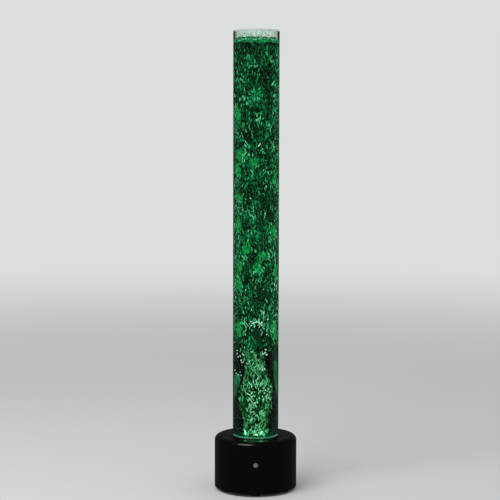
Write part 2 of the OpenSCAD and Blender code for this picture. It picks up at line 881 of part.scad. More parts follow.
// Countersunk screws of the collar and pan-head screws of the service panel
module casing_screws() {
    color(steel_grey) {
        on_ring(collar_screw_ring, collar_screws_n) translate([0, 0, base_h]) csk_screw(m4_r, m4_l);
        for_each_panel_corner() translate([0, 0, panel_t]) pan_screw(m4_r, m4_l, m3_head_h);
    }
}

module tube_seal() {
    color(soft_black) translate([0, 0, shell_z1 - seal_h]) ring(seal_or, tube_r + bond, seal_h);
}

// ---------------------------------------------------------------- push button

// Hollow cap with a skirt that the bezel's lip holds back and a post that works the switch
module button_cap() {
    color(cap_grey) at_front(button_z) translate([0, 0, cap_face - cap_l]) {
        difference() {
            round_disc(cap_d / 2, cap_l, cap_dome);
            translate([0, 0, -cut]) cylinder(r = cap_d / 2 - cap_wall, h = cap_l - cap_top + cut);
        }
        ring(cap_d / 2 + cap_skirt, cap_d / 2 - cut, cap_l - cap_proud - lip_t - slip);
        cylinder(r = cap_post_r, h = cap_l - cap_top + cut);
    }
}

module button_bezel() {
    color(casing_black) at_front(button_z) difference() {
        union() {
            translate([0, 0, bezel_seat]) round_disc(bezel_r, bezel_t, bezel_t / 2);
            translate([0, 0, bezel_seat - shank_l]) cylinder(r = shank_r, h = shank_l + cut);
        }
        translate([0, 0, bezel_seat]) cylinder(r = cap_d / 2 + slip, h = bezel_t + cut);
        translate([0, 0, bezel_seat - shank_l - cut])
            cylinder(r = bezel_bore_r, h = shank_l + cut + bezel_t - lip_t);
    }
}

module button_nut() {
    color(soft_black) at_front(button_z) translate([0, 0, -shell_wall - button_boss_t - button_nut_h])
        difference() {
            hex(button_nut_r, button_nut_h);
            translate([0, 0, -cut]) cylinder(r = shank_r + thread, h = button_nut_h + 2 * cut);
        }
}

// Switch block that plugs into the back of the bezel, with its plunger and two tabs
module button_switch() {
    plunger_end = cap_face - cap_l - slip - button_travel;
    block_face = bezel_seat - shank_l;
    color(soft_black) at_front(button_z) {
        translate([0, 0, block_face - switch_l]) cylinder(r = shank_r, h = switch_l);
        translate([0, 0, block_face - cut]) cylinder(r = bezel_bore_r - thread, h = switch_plug_l + cut);
        translate([0, 0, block_face]) cylinder(r = plunger_r, h = plunger_end - block_face);
        for (x = [-button_tab_x, button_tab_x])
            translate([x - button_tab.x / 2, -button_tab.y / 2, block_face - switch_l - button_tab.z])
                cube([button_tab.x, button_tab.y, button_tab.z + cut]);
    }
}

// ---------------------------------------------------------------- service panel, inlet and rocker switch

module service_panel() {
    size = [recess_w - 2 * panel_gap, recess_z1 - recess_z0 - 2 * panel_gap];
    color(soft_black) difference() {
        at_back(0, panel_y0, recess_mid) linear_extrude(panel_t) rounded_rect(size, panel_corner);
        for_each_panel_corner() translate([0, 0, -cut]) cylinder(r = m4_r + thread, h = panel_t + 2 * cut);
        at_back(inlet_x, panel_y0 - cut, inlet_z) {
            linear_extrude(panel_t + 2 * cut) square(inlet_body, center = true);
            for (sx = [-1, 1]) translate([sx * inlet_screw_x, 0, 0])
                cylinder(r = m3_r + thread, h = panel_t + 2 * cut);
        }
        at_back(rocker_x, panel_y0 - cut, rocker_z)
            linear_extrude(panel_t + 2 * cut) square(rocker_body, center = true);
        at_back(0, panel_y0 - cut, ball_z) cylinder(r = neck_r + slip, h = panel_t + 2 * cut);
        at_back(0, panel_y0 - cut, spigot_z) cylinder(r = elbow_od_r + slip, h = panel_t + 2 * cut);
    }
}

module mouth_outline() {
    bevel = 4;
    w = inlet_mouth.x / 2;
    h = inlet_mouth.y / 2;
    polygon([[-w, -h], [w, -h], [w, h - bevel], [w - bevel, h], [bevel - w, h], [-w, h - bevel]]);
}

module power_inlet() {
    color(soft_black) at_back(inlet_x, panel_y1, inlet_z) difference() {
        union() {
            linear_extrude(inlet_flange_t) rounded_rect(inlet_flange, inlet_corner);
            translate([0, 0, -inlet_body_l]) linear_extrude(inlet_body_l + cut)
                square(inlet_body, center = true);
        }
        translate([0, 0, inlet_flange_t - inlet_depth]) linear_extrude(inlet_depth + cut) mouth_outline();
        for (at = blade_at) translate([at.x - blade.x / 2, at.y - blade.y / 2, -inlet_body_l - cut])
            cube([blade.x, blade.y, inlet_body_l]);
        for (sx = [-1, 1]) translate([sx * inlet_screw_x, 0, -cut])
            cylinder(r = m3_r + thread, h = inlet_flange_t + 2 * cut);
    }
}

// The inlet's three blades and the rocker switch's two tabs
module power_blades() {
    blade_l = inlet_body_l + inlet_flange_t - blade_set_back + blade_tail;
    color(brass_gold) {
        at_back(inlet_x, panel_y1 - inlet_body_l - blade_tail, inlet_z)
            for (at = blade_at) translate([at.x - blade.x / 2, at.y - blade.y / 2, 0])
                cube([blade.x, blade.y, blade_l]);
        at_back(rocker_x, panel_y1 - rocker_body_l - switch_tab_l, rocker_z)
            for (z = switch_tab_z) translate([-switch_tab.y / 2, z - switch_tab.x / 2, 0])
                cube([switch_tab.y, switch_tab.x, switch_tab_l]);
    }
}

module rocker_frame() {
    color(soft_black) difference() {
        at_back(rocker_x, panel_y1, rocker_z) difference() {
            union() {
                linear_extrude(rocker_flange_t) rounded_rect(rocker_flange, rocker_corner);
                translate([0, 0, -rocker_body_l]) linear_extrude(rocker_body_l + cut)
                    square(rocker_body, center = true);
            }
            translate([0, 0, rocker_flange_t - rocker_depth]) linear_extrude(rocker_depth + cut)
                square(rocker_open, center = true);
        }
        translate([rocker_x - pivot_l - thread, pivot_y, rocker_z]) rotate([0, 90, 0])
            cylinder(r = pivot_r + run, h = 2 * pivot_l + 2 * thread);
    }
}

// Paddle whose two outer faces meet over its pivot
module power_rocker() {
    color(casing_black) translate([rocker_x, pivot_y, rocker_z]) rotate([-rocker_tilt, 0, 0]) {
        rotate([0, 90, 0]) translate([0, 0, -paddle_w / 2]) linear_extrude(paddle_w)
            intersection_for (lean = [-rocker_tilt, rocker_tilt]) intersection() {
                circle(r = paddle_r);
                rotate(lean) translate([-2 * paddle_r, -4 * paddle_r + paddle_face]) square(4 * paddle_r);
            }
        rotate([0, 90, 0]) translate([0, 0, -pivot_l]) cylinder(r = pivot_r, h = 2 * pivot_l);
    }
}

// ---------------------------------------------------------------- electronics

module power_supply() {
    vent_n = 8;
    vent = [48, 3, 2];
    vent_inset = 12;
    pitch = (supply.y - 2 * vent_inset - vent.y) / (vent_n - 1);
    color(alloy_grey) translate([supply_x, -supply.y / 2, plate_z1]) difference() {
        cube(supply);
        for (i = [0:vent_n - 1])
            translate([(supply.x - vent.x) / 2, vent_inset + i * pitch, supply.z - vent.z])
                cube([vent.x, vent.y, vent.z + cut]);
    }
}

module supply_terminals() {
    barrier_t = 1;
    pitch = (terminals.x - barrier_t) / terminal_n;
    x0 = supply_x + (supply.x - terminals.x) / 2;
    color(soft_black) translate([x0, supply.y / 2, plate_z1 + terminal_z]) {
        cube([terminals.x, terminals.y, terminals.z / 2]);
        for (i = [0:terminal_n]) translate([i * pitch, 0, 0]) cube([barrier_t, terminals.y, terminals.z]);
    }
}

module for_each_control_corner() {
    for (sx = [-1, 1], y = [control_inset, control.y - control_inset])
        translate([sx * (control.x / 2 - control_inset), control_y + y, 0]) children();
}

module control_board() {
    color(board_green) difference() {
        translate([-control.x / 2, control_y, control_z0]) cube([control.x, control.y, board_t]);
        for_each_control_corner() translate([0, 0, control_z0 - cut])
            cylinder(r = m3_r + thread, h = board_t + 2 * cut);
    }
}

module board_standoffs() {
    color(brass_gold) for_each_control_corner() difference() {
        union() {
            translate([0, 0, plate_z1]) hex(control_stand_hex, control_stand_h);
            translate([0, 0, plate_z1 - plate_stud_l]) cylinder(r = m3_r, h = plate_stud_l + cut);
        }
        translate([0, 0, control_z1 - m3_l - thread]) cylinder(r = m3_r + thread, h = m3_l);
    }
}

relay = [19, 15, 16];
driver_chip = [10, 8, 2];
main_chip = [12, 12, 1.6];
plug_strip = [30, 8, 10];
reservoir_r = 6;
reservoir_h = 20;
reservoir_edge = 1;
coil_r = 5;
coil_h = 9;
relay_at = [-38, 12];
main_chip_at = [8, 30];
plug_at = [[-38, 58], [6, 58], [-30, 2]];
driver_at = [[-14, 34], [-14, 46], [26, 46]];
reservoir_at = [[30, 14], [14, 12]];
coil_at = [[36, 32], [-34, 40]];

// Components soldered on the control board, placed from its left front corner's middle line
module board_parts() {
    color(soft_black) translate([0, control_y, control_z1]) {
        translate([relay_at.x, relay_at.y, 0]) cube(relay);
        translate([main_chip_at.x, main_chip_at.y, 0]) cube(main_chip);
        for (at = driver_at) translate([at.x, at.y, 0]) cube(driver_chip);
        for (at = plug_at) translate([at.x, at.y, 0]) cube(plug_strip);
        for (at = reservoir_at) translate([at.x, at.y, 0])
            round_disc(reservoir_r, reservoir_h, reservoir_edge);
        for (at = coil_at) translate([at.x, at.y, 0]) cylinder(r = coil_r, h = coil_h);
    }
}

// ---------------------------------------------------------------- air pump and hoses

// Outline of the pump seen from above, moved in by inset
module pump_outline(inset) {
    translate([(pump_x0 + pump_x1) / 2, 0])
        rounded_rect([pump_w - 2 * inset, pump_l - 2 * inset], pump_corner - inset);
}

// Child copied along the pump, centred on each of its ribs
module for_each_rib() {
    for (i = [0:pump_rib_n - 1])
        translate([pump_x0, (i - (pump_rib_n - 1) / 2) * pump_l / (pump_rib_n + 1), 0]) children();
}

module pump_case() {
    color(alloy_grey) difference() {
        union() {
            translate([0, 0, pump_z0]) linear_extrude(pump_case_h) pump_outline(pump_rib_t);
            translate([0, 0, pump_z1 - pump_wall]) linear_extrude(pump_wall) pump_outline(0);
            for_each_rib() translate([0, -pump_rib_t / 2, pump_z0])
                cube([pump_rib_t + cut, pump_rib_t, pump_case_h]);
        }
        translate([0, 0, pump_z0 + pump_wall]) linear_extrude(pump_case_h)
            pump_outline(pump_rib_t + pump_wall);
    }
}

module pump_cover() {
    color(soft_black) difference() {
        translate([0, 0, pump_z1]) linear_extrude(pump_cover_h) pump_outline(0);
        translate([0, 0, pump_z1 - cut]) linear_extrude(pump_cover_h - pump_wall + cut)
            pump_outline(pump_wall);
        for_each_rib() translate([pump_corner, -pump_groove.x / 2, pump_z2 - pump_groove.y])
            cube([pump_w - 2 * pump_corner, pump_groove.x, pump_groove.y + cut]);
    }
}

module pump_head() {
    z0 = outlet_z - head_size.z / 2;
    z1 = min(outlet_z + head_size.z / 2, pump_z1 - pump_wall);
    color(nylon_white) difference() {
        union() {
            translate([pump_x1 - pump_rib_t, -head_size.y / 2, z0])
                cube([head_size.x + pump_rib_t, head_size.y, z1 - z0]);
            translate([pump_x1 + head_size.x - cut, 0, outlet_z]) rotate([0, 90, 0]) tail_out();
        }
        translate([pump_x1 + cut, 0, outlet_z]) rotate([0, 90, 0])
            cylinder(r = air_bore_r, h = head_size.x + outlet_l + cut);
    }
}

// Hose tail whose ridges hold a hose that is pushed on from its far end
module tail_out() {
    translate([0, 0, outlet_l + cut]) mirror([0, 0, 1]) hose_tail(air_barb_r, outlet_l + cut, air_bore_r);
}

module pump_feet() {
    reach = [pump_w / 2 - pump_foot_inset, pump_l / 2 - pump_foot_inset];
    color(soft_black) for (sx = [-1, 1], sy = [-1, 1])
        translate([(pump_x0 + pump_x1) / 2 + sx * reach.x, sy * reach.y, plate_z1])
            cylinder(r = pump_foot_r, h = pump_foot_h);
}

module hose(r_out, r_in, l) {
    ring(r_out, r_in, l);
}

// Air hose from the pump's outlet, round a bend and up to the check valve
module pump_hose() {
    start = pump_x1 + head_size.x + slip;
    color(hose_clear) {
        translate([start, 0, outlet_z]) rotate([0, 90, 0])
            hose(air_hose_r, air_hose_id / 2, -air_bend_r - start);
        translate([0, 0, outlet_z + air_bend_r]) mirror([1, 0, 0])
            pipe_bend(air_hose_r, air_hose_id / 2, air_bend_r);
        translate([0, 0, outlet_z + air_bend_r])
            hose(air_hose_r, air_hose_id / 2, check_z0 - slip - outlet_z - air_bend_r);
    }
}

// Two flanged halves with a hose tail each, and the membrane between their bores
module check_valve() {
    half_h = check_h / 2 - check_seam;
    bore_l = outlet_l + (check_h - membrane_t) / 2;
    color(nylon_white) difference() {
        union() {
            translate([0, 0, check_z0]) round_disc(check_r, half_h, check_edge);
            translate([0, 0, check_z0 + check_h]) rotate([180, 0, 0]) round_disc(check_r, half_h, check_edge);
            translate([0, 0, check_z0 + check_edge])
                cylinder(r = check_r - check_edge, h = check_h - 2 * check_edge);
            translate([0, 0, check_z0 + cut]) mirror([0, 0, 1]) tail_out();
            translate([0, 0, check_z0 + check_h - cut]) tail_out();
        }
        translate([0, 0, check_z0 - outlet_l - cut]) cylinder(r = air_bore_r, h = bore_l + cut);
        translate([0, 0, check_z0 + (check_h + membrane_t) / 2]) cylinder(r = air_bore_r, h = bore_l + cut);
    }
}

module riser_hose() {
    z0 = check_z0 + check_h + slip;
    color(hose_clear) translate([0, 0, z0]) hose(air_hose_r, air_hose_id / 2, chamber_z0 - slip - z0);
}

// Clip round a hose, at the middle of the tail that starts at the origin and runs along +Z
module clip_on(tail_l, hose_r) {
    translate([0, 0, (tail_l - clip_h) / 2]) ring(hose_r + clip_t, hose_r + thread, clip_h);
}

// Spring clips on both air hoses and on the drain hose
module hose_clips() {
    color(steel_grey) {
        translate([0, 0, chamber_z0]) mirror([0, 0, 1]) clip_on(air_barb_l, air_hose_r);
        translate([0, 0, check_z0 + check_h]) clip_on(outlet_l, air_hose_r);
        translate([0, 0, check_z0]) mirror([0, 0, 1]) clip_on(outlet_l, air_hose_r);
        translate([pump_x1 + head_size.x, 0, outlet_z]) rotate([0, 90, 0]) clip_on(outlet_l, air_hose_r);
        translate([0, valve_y, valve_z1]) clip_on(drain_barb_l, drain_hose_r);
        translate([0, drain_y, drain_shank_z0]) mirror([0, 0, 1]) clip_on(drain_barb_l, drain_hose_r);
    }
}

// ---------------------------------------------------------------- drain

// Flanged fitting with a strainer cross in its mouth and a hose tail below the nut
module drain_fitting() {
    strainer_w = 3;
    flange_z0 = floor_z1 + gasket_t;
    shank_l = flange_z0 - drain_shank_z0;
    color(nylon_white) translate([0, drain_y, 0]) {
        difference() {
            union() {
                translate([0, 0, flange_z0]) round_disc(drain_flange_r, drain_flange_t, drain_flange_edge);
                translate([0, 0, drain_shank_z0]) cylinder(r = drain_shank_r, h = shank_l + cut);
                translate([0, 0, drain_shank_z0 + cut]) rotate([180, 0, 0])
                    hose_tail(drain_barb_r, drain_barb_l + cut, drain_bore / 2);
            }
            translate([0, 0, drain_shank_z0 - drain_barb_l - cut])
                cylinder(r = drain_bore / 2, h = shank_l + drain_flange_t + drain_barb_l + 2 * cut);
        }
        for (turn = [0, 90]) rotate([0, 0, turn])
            translate([-drain_bore / 2 - cut, -strainer_w / 2, flange_z0])
                cube([drain_bore + 2 * cut, strainer_w, drain_flange_t - drain_flange_edge]);
    }
}

module drain_gasket() {
    color(soft_black) translate([0, drain_y, floor_z1])
        ring(drain_flange_r - drain_flange_edge, drain_shank_r + thread, gasket_t);
}

module drain_nut() {
    color(nylon_white) translate([0, drain_y, floor_z0 - drain_nut_h]) difference() {
        hex(drain_nut_r, drain_nut_h);
        translate([0, 0, -cut]) cylinder(r = drain_shank_r + thread, h = drain_nut_h + 2 * cut);
    }
}

// Drain hose: down from the fitting, across in two bends and down onto the valve
module drain_hose() {
    color(hose_clear) {
        translate([0, valve_y, valve_z1 + slip])
            hose(drain_hose_r, drain_hose_id / 2, hose_bend_z - valve_z1 - slip);
        translate([0, valve_y, hose_bend_z]) rotate([180, 0, -90])
            pipe_bend(drain_hose_r, drain_hose_id / 2, hose_bend_r);
        translate([0, drain_y, hose_bend_z + 2 * hose_bend_r]) rotate([0, 0, 90])
            pipe_bend(drain_hose_r, drain_hose_id / 2, hose_bend_r);
        translate([0, drain_y, hose_bend_z + 2 * hose_bend_r])
            hose(drain_hose_r, drain_hose_id / 2, drain_shank_z0 - slip - hose_bend_z - 2 * hose_bend_r);
    }
}

module valve_body() {
    color(nylon_white) difference() {
        union() {
            translate([0, valve_y, valve_z0]) cylinder(r = valve_r, h = valve_z1 - valve_z0);
            translate([0, valve_y, valve_z1 + drain_barb_l]) mirror([0, 0, 1])
                hose_tail(drain_barb_r, drain_barb_l + cut, drain_bore / 2);
            at_back(0, valve_y, ball_z) cylinder(r = neck_r, h = neck_y1 - valve_y);
        }
        translate([0, valve_y, valve_z0 - cut])
            cylinder(r = valve_cavity_r, h = ball_z + seats_reach - valve_z0 + cut);
        translate([0, valve_y, ball_z])
            cylinder(r = drain_bore / 2, h = valve_z1 - ball_z + drain_barb_l + cut);
        at_back(0, valve_y, ball_z) cylinder(r = stem_r + run, h = neck_y1 - valve_y + cut);
    }
}

module valve_cap() {
    color(nylon_white) translate([0, valve_y, cap_z0]) difference() {
        union() {
            cylinder(r = valve_r, h = valve_cap_t);
            cylinder(r = valve_cavity_r - thread, h = ball_z - seats_reach - cap_z0);
        }
        translate([0, 0, -cut]) cylinder(r = drain_bore / 2, h = ball_z - cap_z0);
    }
}

module valve_seats() {
    color(nylon_white) difference() {
        for (z = [ball_z - seats_reach, ball_z + seats_reach - seat_h]) translate([0, valve_y, z])
            ring(valve_cavity_r - thread, drain_bore / 2, seat_h);
        translate([0, valve_y, ball_z]) sphere(r = ball_d / 2 + seat_gap);
    }
}

// Ball with its bore across the flow, which is the shut position
module valve_ball() {
    color(steel_grey) translate([0, valve_y, ball_z]) difference() {
        rotate([0, 90, 0]) rotate_extrude() intersection() {
            circle(r = ball_d / 2);
            translate([drain_bore / 2, -ball_d / 2]) square(ball_d);
        }
        translate([-ball_d, ball_d / 2 - tongue_l, -tongue_w / 2]) cube([2 * ball_d, ball_d, tongue_w]);
    }
}

module valve_stem() {
    stem_y0 = valve_y + ball_d / 2;
    color(steel_grey) {
        at_back(0, stem_y0, ball_z) cylinder(r = stem_r, h = lever_y0 + lever_t + stem_end_l - stem_y0);
        translate([0, stem_y0, ball_z]) intersection() {
            translate([-stem_r, -tongue_l, -tongue_w / 2]) cube([2 * stem_r, tongue_l + cut, tongue_w]);
            rotate([90, 0, 0]) cylinder(r = stem_r, h = 4 * tongue_l, center = true);
        }
    }
}

module valve_gland() {
    color(soft_black) at_back(0, panel_y1, ball_z) difference() {
        hex(gland_r, gland_t);
        translate([0, 0, -cut]) cylinder(r = neck_r + thread, h = gland_t + 2 * cut);
    }
}

module valve_lever() {
    color([0.62, 0.08, 0.06]) translate([0, lever_y0, ball_z]) rotate([-90, 0, 0]) difference() {
        union() {
            cylinder(r = lever_hub_r, h = lever_t);
            translate([0, -lever_w / 2, 0]) cube([lever_l - lever_w / 2, lever_w, lever_t]);
            translate([lever_l - lever_w / 2, 0, 0]) cylinder(r = lever_w / 2, h = lever_t);
            translate([lever_l - lever_grip.x, -lever_grip.y / 2, 0])
                cube([lever_grip.x - lever_w / 2, lever_grip.y, lever_t + lever_grip.z]);
        }
        translate([0, 0, -cut]) cylinder(r = stem_r + thread, h = lever_t + 2 * cut);
    }
}

module lever_nut() {
    color(steel_grey) at_back(0, lever_y0 + lever_t, ball_z) difference() {
        hex(lever_nut_r, lever_nut_h);
        translate([0, 0, -cut]) cylinder(r = stem_r + thread, h = lever_nut_h + 2 * cut);
    }
}

// Elbow under the valve, whose outer end is the spigot that a hose is pushed on to
module drain_elbow() {
    bend_y = valve_y + elbow_r;
    spigot_y = panel_y1 + spigot_collar_t;
    color(nylon_white) difference() {
        union() {
            translate([0, valve_y, spigot_z + elbow_r])
                cylinder(r = elbow_od_r + elbow_foot_t, h = elbow_foot_t);
            translate([0, valve_y, spigot_z + elbow_r]) rotate([0, 0, 90]) pipe_bend(elbow_od_r, 0, elbow_r);
            at_back(0, bend_y, spigot_z) cylinder(r = elbow_od_r, h = spigot_y - bend_y);
            at_back(0, panel_y1, spigot_z) cylinder(r = spigot_collar_r, h = spigot_collar_t);
            at_back(0, spigot_y - cut, spigot_z) cylinder(r = spigot_d / 2, h = spigot_l + cut);
        }
        translate([0, valve_y, spigot_z + elbow_r]) cylinder(r = drain_bore / 2, h = elbow_foot_t + cut);
        translate([0, valve_y, spigot_z + elbow_r]) rotate([0, 0, 90]) pipe_bend(drain_bore / 2, 0, elbow_r);
        at_back(0, bend_y, spigot_z) cylinder(r = drain_bore / 2, h = spigot_y + spigot_l - bend_y + cut);
    }
}

// ---------------------------------------------------------------- wiring

inlet_tail_y = panel_y1 - inlet_body_l - blade_tail;
rocker_tail_y = panel_y1 - rocker_body_l - switch_tab_l;
supply_in = [supply_x + supply.x / 2, supply.y / 2 + terminals.y, plate_z1 + terminal_z + terminals.z / 4];
supply_out = [supply_x + 10, -12, plate_z1 + supply.z];
board_plug_z = control_z1 + plug_strip.z;
wire_pull = 30; // how far a wire's curve is pulled out along its ends

// Inlet to rocker switch past the valve, and rocker switch to power supply
module mains_wires() {
    inlet_tail = [inlet_x, inlet_tail_y, inlet_z];
    rocker_upper = [rocker_x, rocker_tail_y, rocker_z + switch_tab_z[1]];
    rocker_lower = [rocker_x, rocker_tail_y, rocker_z + switch_tab_z[0]];
    past_valve = [0, -1.4 * wire_pull, 0];
    inward = [0, -wire_pull, 0];
    color(soft_black) {
        wire(inlet_tail, past_valve, rocker_upper, past_valve, mains_wire_r);
        wire(rocker_lower, inward, supply_in, -inward, mains_wire_r);
    }
}

function plug_top(at) = [at.x + plug_strip.x / 2, control_y + at.y + plug_strip.y / 2, board_plug_z];

// From the control board: light board, push button and power supply
module signal_wires() {
    up = [0, 0, wire_pull];
    lights_in = [wire_hole.x, wire_hole.y, led_board_z0];
    button_in = [-button_tab_x, -base_r - bezel_seat + shank_l + switch_l + button_tab.z, button_z];
    color(soft_black) {
        wire(plug_top(plug_at[0]), 2 * up, lights_in, -2 * up, signal_wire_r);
        wire(plug_top(plug_at[1]), up, supply_out, up, signal_wire_r);
        wire(plug_top(plug_at[2]), 2 * up, button_in, [0, wire_pull, 0], signal_wire_r);
    }
}

outer_tube();
tube_lid();
tube_floor();
water();
bubble_plume();
air_jets();
jet_seals();
air_chamber();
chamber_gasket();
led_board();
led_packages();
led_standoffs();
board_screws();
tube_deck();
deck_posts();
plate_screws();
tube_pad();
base_plate();
base_shell();
rubber_feet();
collar_ring();
casing_screws();
tube_seal();
button_cap();
button_bezel();
button_nut();
button_switch();
service_panel();
power_inlet();
power_blades();
rocker_frame();
power_rocker();
power_supply();
supply_terminals();
control_board();
board_parts();
board_standoffs();
pump_case();
pump_cover();
pump_head();
pump_feet();
pump_hose();
check_valve();
riser_hose();
hose_clips();
drain_fitting();
drain_gasket();
drain_nut();
drain_hose();
valve_body();
valve_cap();
valve_seats();
valve_ball();
valve_stem();
valve_gland();
valve_lever();
lever_nut();
drain_elbow();
mains_wires();
signal_wires();
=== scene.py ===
import math
import random

import bpy
import numpy as np
from mathutils import Euler, Matrix, Vector, noise


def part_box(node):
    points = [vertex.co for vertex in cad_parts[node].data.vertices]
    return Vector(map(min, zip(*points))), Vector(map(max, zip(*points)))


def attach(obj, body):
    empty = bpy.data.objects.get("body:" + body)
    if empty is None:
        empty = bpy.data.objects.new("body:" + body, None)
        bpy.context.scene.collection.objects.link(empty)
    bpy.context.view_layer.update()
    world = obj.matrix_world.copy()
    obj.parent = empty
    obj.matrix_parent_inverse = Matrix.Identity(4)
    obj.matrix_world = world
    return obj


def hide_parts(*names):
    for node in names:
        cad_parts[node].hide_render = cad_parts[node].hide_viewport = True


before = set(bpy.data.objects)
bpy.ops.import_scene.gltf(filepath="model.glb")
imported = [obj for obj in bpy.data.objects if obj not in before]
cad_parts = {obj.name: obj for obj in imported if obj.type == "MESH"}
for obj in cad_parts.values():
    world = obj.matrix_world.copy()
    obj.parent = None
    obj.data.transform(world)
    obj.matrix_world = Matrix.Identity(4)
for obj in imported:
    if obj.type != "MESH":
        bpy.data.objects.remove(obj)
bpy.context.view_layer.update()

SEED = 11
random.seed(SEED)

# ---- Studio ---------------------------------------------------------------------------------
# A camera at eye height a good six metres off, with a long lens that looks slightly down, as the
# rim and the foot of the tube show it. The floor is pale paper that runs out to a pale room.
# One wide soft light hangs over the lamp and to its left; the room itself gives the fill, and is
# held dim in reflections, so that gloss black stays black and no veil lies on the water.

LENS, SENSOR = 99.85, 36.0            # mm
EYE = (-0.026, -6.03, 1.529)
DOWN, ROLL = 4.525, 0.11              # degrees
FARTHEST = 200.0                      # that the camera sees

PAPER, ROOM, ROOM_IN_GLOSS, FILL = "#e3e4e3", "#dcdedd", "#3e4240", "#f4f6f8"
FILL_STRENGTH = 0.62
PAPER_R, PAPER_Z = 0.6, -0.0004       # the middle of the paper, just under the feet
PAPER_GROWTH = (2.0, 2.0, 2.5, 3.0, 4.0)
FADE_FROM, FADE_TO = 2.2, 11.0        # where the paper goes over into the room
TOOTH = 1 / 380                       # the paper's tooth, drawn coarse enough to show

SOFT_BOX_SIZE, SOFT_BOX_POWER = (2.6, 2.0), 95
SOFT_BOX_AT, SOFT_BOX_AIM = (-1.9, -2.3, 4.2), (0, 0, 0.5)


def linear(colour):
    """The linear values of an sRGB hex colour."""
    parts = [int(colour[i:i + 2], 16) / 255 for i in (1, 3, 5)]
    return tuple(c / 12.92 if c <= 0.04045 else ((c + 0.055) / 1.055) ** 2.4 for c in parts) + (1.0,)


def add(tree, kind, settings=None, **inputs):
    """A node with its settings, and its inputs as values or as the sockets that feed them."""
    made = tree.nodes.new("ShaderNode" + kind)
    for name, value in (settings or {}).items():
        setattr(made, name, value)
    for name, value in inputs.items():
        key = int(name[1:]) if name[0] == "i" and name[1:].isdigit() else name.replace("_", " ")
        if isinstance(value, bpy.types.NodeSocket):
            tree.links.new(value, made.inputs[key])
        else:
            made.inputs[key].default_value = value
    return made


def new_tree(name):
    """A named material with an empty tree and its output."""
    material = bpy.data.materials.new(name)
    material.use_nodes = True
    material.node_tree.nodes.clear()
    return material, material.node_tree, material.node_tree.nodes.new("ShaderNodeOutputMaterial")


def nothing_selected():
    """Leaves edit mode and every object unselected."""
    if bpy.context.object and bpy.context.object.mode != "OBJECT":
        bpy.ops.object.mode_set(mode="OBJECT")
    bpy.ops.object.select_all(action="DESELECT")


scene = bpy.context.scene
scene.view_settings.view_transform = "Standard"
camera = bpy.data.objects.new("eye", bpy.data.cameras.new("eye"))
scene.collection.objects.link(camera)
camera.data.lens, camera.data.sensor_width, camera.data.clip_end = LENS, SENSOR, FARTHEST
tilted = Euler((math.radians(90 - DOWN), 0, 0)).to_matrix().to_4x4()
rolled = Euler((0, 0, math.radians(ROLL))).to_matrix().to_4x4()
camera.matrix_world = Matrix.Translation(EYE) @ tilted @ rolled
scene.camera = camera

nothing_selected()
bpy.ops.mesh.primitive_circle_add(vertices=96, radius=PAPER_R, fill_type="NGON", location=(0, 0, PAPER_Z))
paper = bpy.context.object
paper.name = "paper_floor"
bpy.ops.object.mode_set(mode="EDIT")
for growth in PAPER_GROWTH:
    bpy.ops.mesh.select_mode(type="EDGE")
    bpy.ops.mesh.select_all(action="DESELECT")
    bpy.ops.mesh.select_non_manifold()
    bpy.ops.mesh.extrude_edges_move()
    bpy.ops.transform.resize(value=(growth, growth, 1))
bpy.ops.object.mode_set(mode="OBJECT")
bpy.ops.object.transform_apply()

seamless_paper, tree, out = new_tree("matt_background_paper")
where = add(tree, "TexCoord").outputs["Object"]
tooth = add(tree, "TexNoise", Vector=where, Scale=1 / TOOTH, Detail=3.0)
rough = add(tree, "Bump", Strength=0.05, Distance=0.0004, Height=tooth.outputs["Fac"])
far = add(tree, "VectorMath", {"operation": "LENGTH"}, i0=where)
fade = add(tree, "MapRange", {"interpolation_type": "SMOOTHSTEP"}, Value=far.outputs["Value"],
           From_Min=FADE_FROM, From_Max=FADE_TO)
sheet = add(tree, "BsdfPrincipled", Base_Color=linear(PAPER), Roughness=0.9, Normal=rough.outputs["Normal"])
sheet.inputs["Specular IOR Level"].default_value = 0.2
glow = add(tree, "Emission", Color=linear(ROOM), Strength=1.0)
both = add(tree, "MixShader", Fac=fade.outputs["Result"], i1=sheet.outputs[0], i2=glow.outputs[0])
tree.links.new(both.outputs[0], out.inputs["Surface"])
paper.data.materials.append(seamless_paper)
paper.visible_glossy = False

room = bpy.data.worlds.new("pale_room")
scene.world = room
room.use_nodes = True
tree = room.node_tree
tree.nodes.clear()
ray = add(tree, "LightPath")
seen = add(tree, "Math", {"operation": "MAXIMUM"}, i0=ray.outputs["Is Camera Ray"],
           i1=ray.outputs["Is Transmission Ray"])
fill = add(tree, "Background", Color=linear(FILL), Strength=FILL_STRENGTH)
mirrored = add(tree, "Background", Color=linear(ROOM_IN_GLOSS), Strength=1.0)
shown = add(tree, "Background", Color=linear(ROOM), Strength=1.0)
both = add(tree, "MixShader", Fac=ray.outputs["Is Glossy Ray"], i1=fill.outputs[0], i2=mirrored.outputs[0])
both = add(tree, "MixShader", Fac=seen.outputs[0], i1=both.outputs[0], i2=shown.outputs[0])
tree.links.new(both.outputs[0], tree.nodes.new("ShaderNodeOutputWorld").inputs["Surface"])

soft_box = bpy.data.objects.new("soft_box", bpy.data.lights.new("soft_box", "AREA"))
scene.collection.objects.link(soft_box)
soft_box.data.shape = "RECTANGLE"
soft_box.data.size, soft_box.data.size_y = SOFT_BOX_SIZE
soft_box.data.energy = SOFT_BOX_POWER
soft_box.location = SOFT_BOX_AT
soft_box.rotation_euler = (Vector(SOFT_BOX_AIM) - Vector(SOFT_BOX_AT)).to_track_quat("-Z", "Y").to_euler()

# ---- Acrylic tube ---------------------------------------------------------------------------
# The tube is cast acrylic, 200 mm across with a 5 mm wall, cut square and polished at the rim.
# It stands on the deck inside the base and holds all the water. Polished acrylic is clear and
# almost without colour across the wall, with a faint green tint where one looks along it.

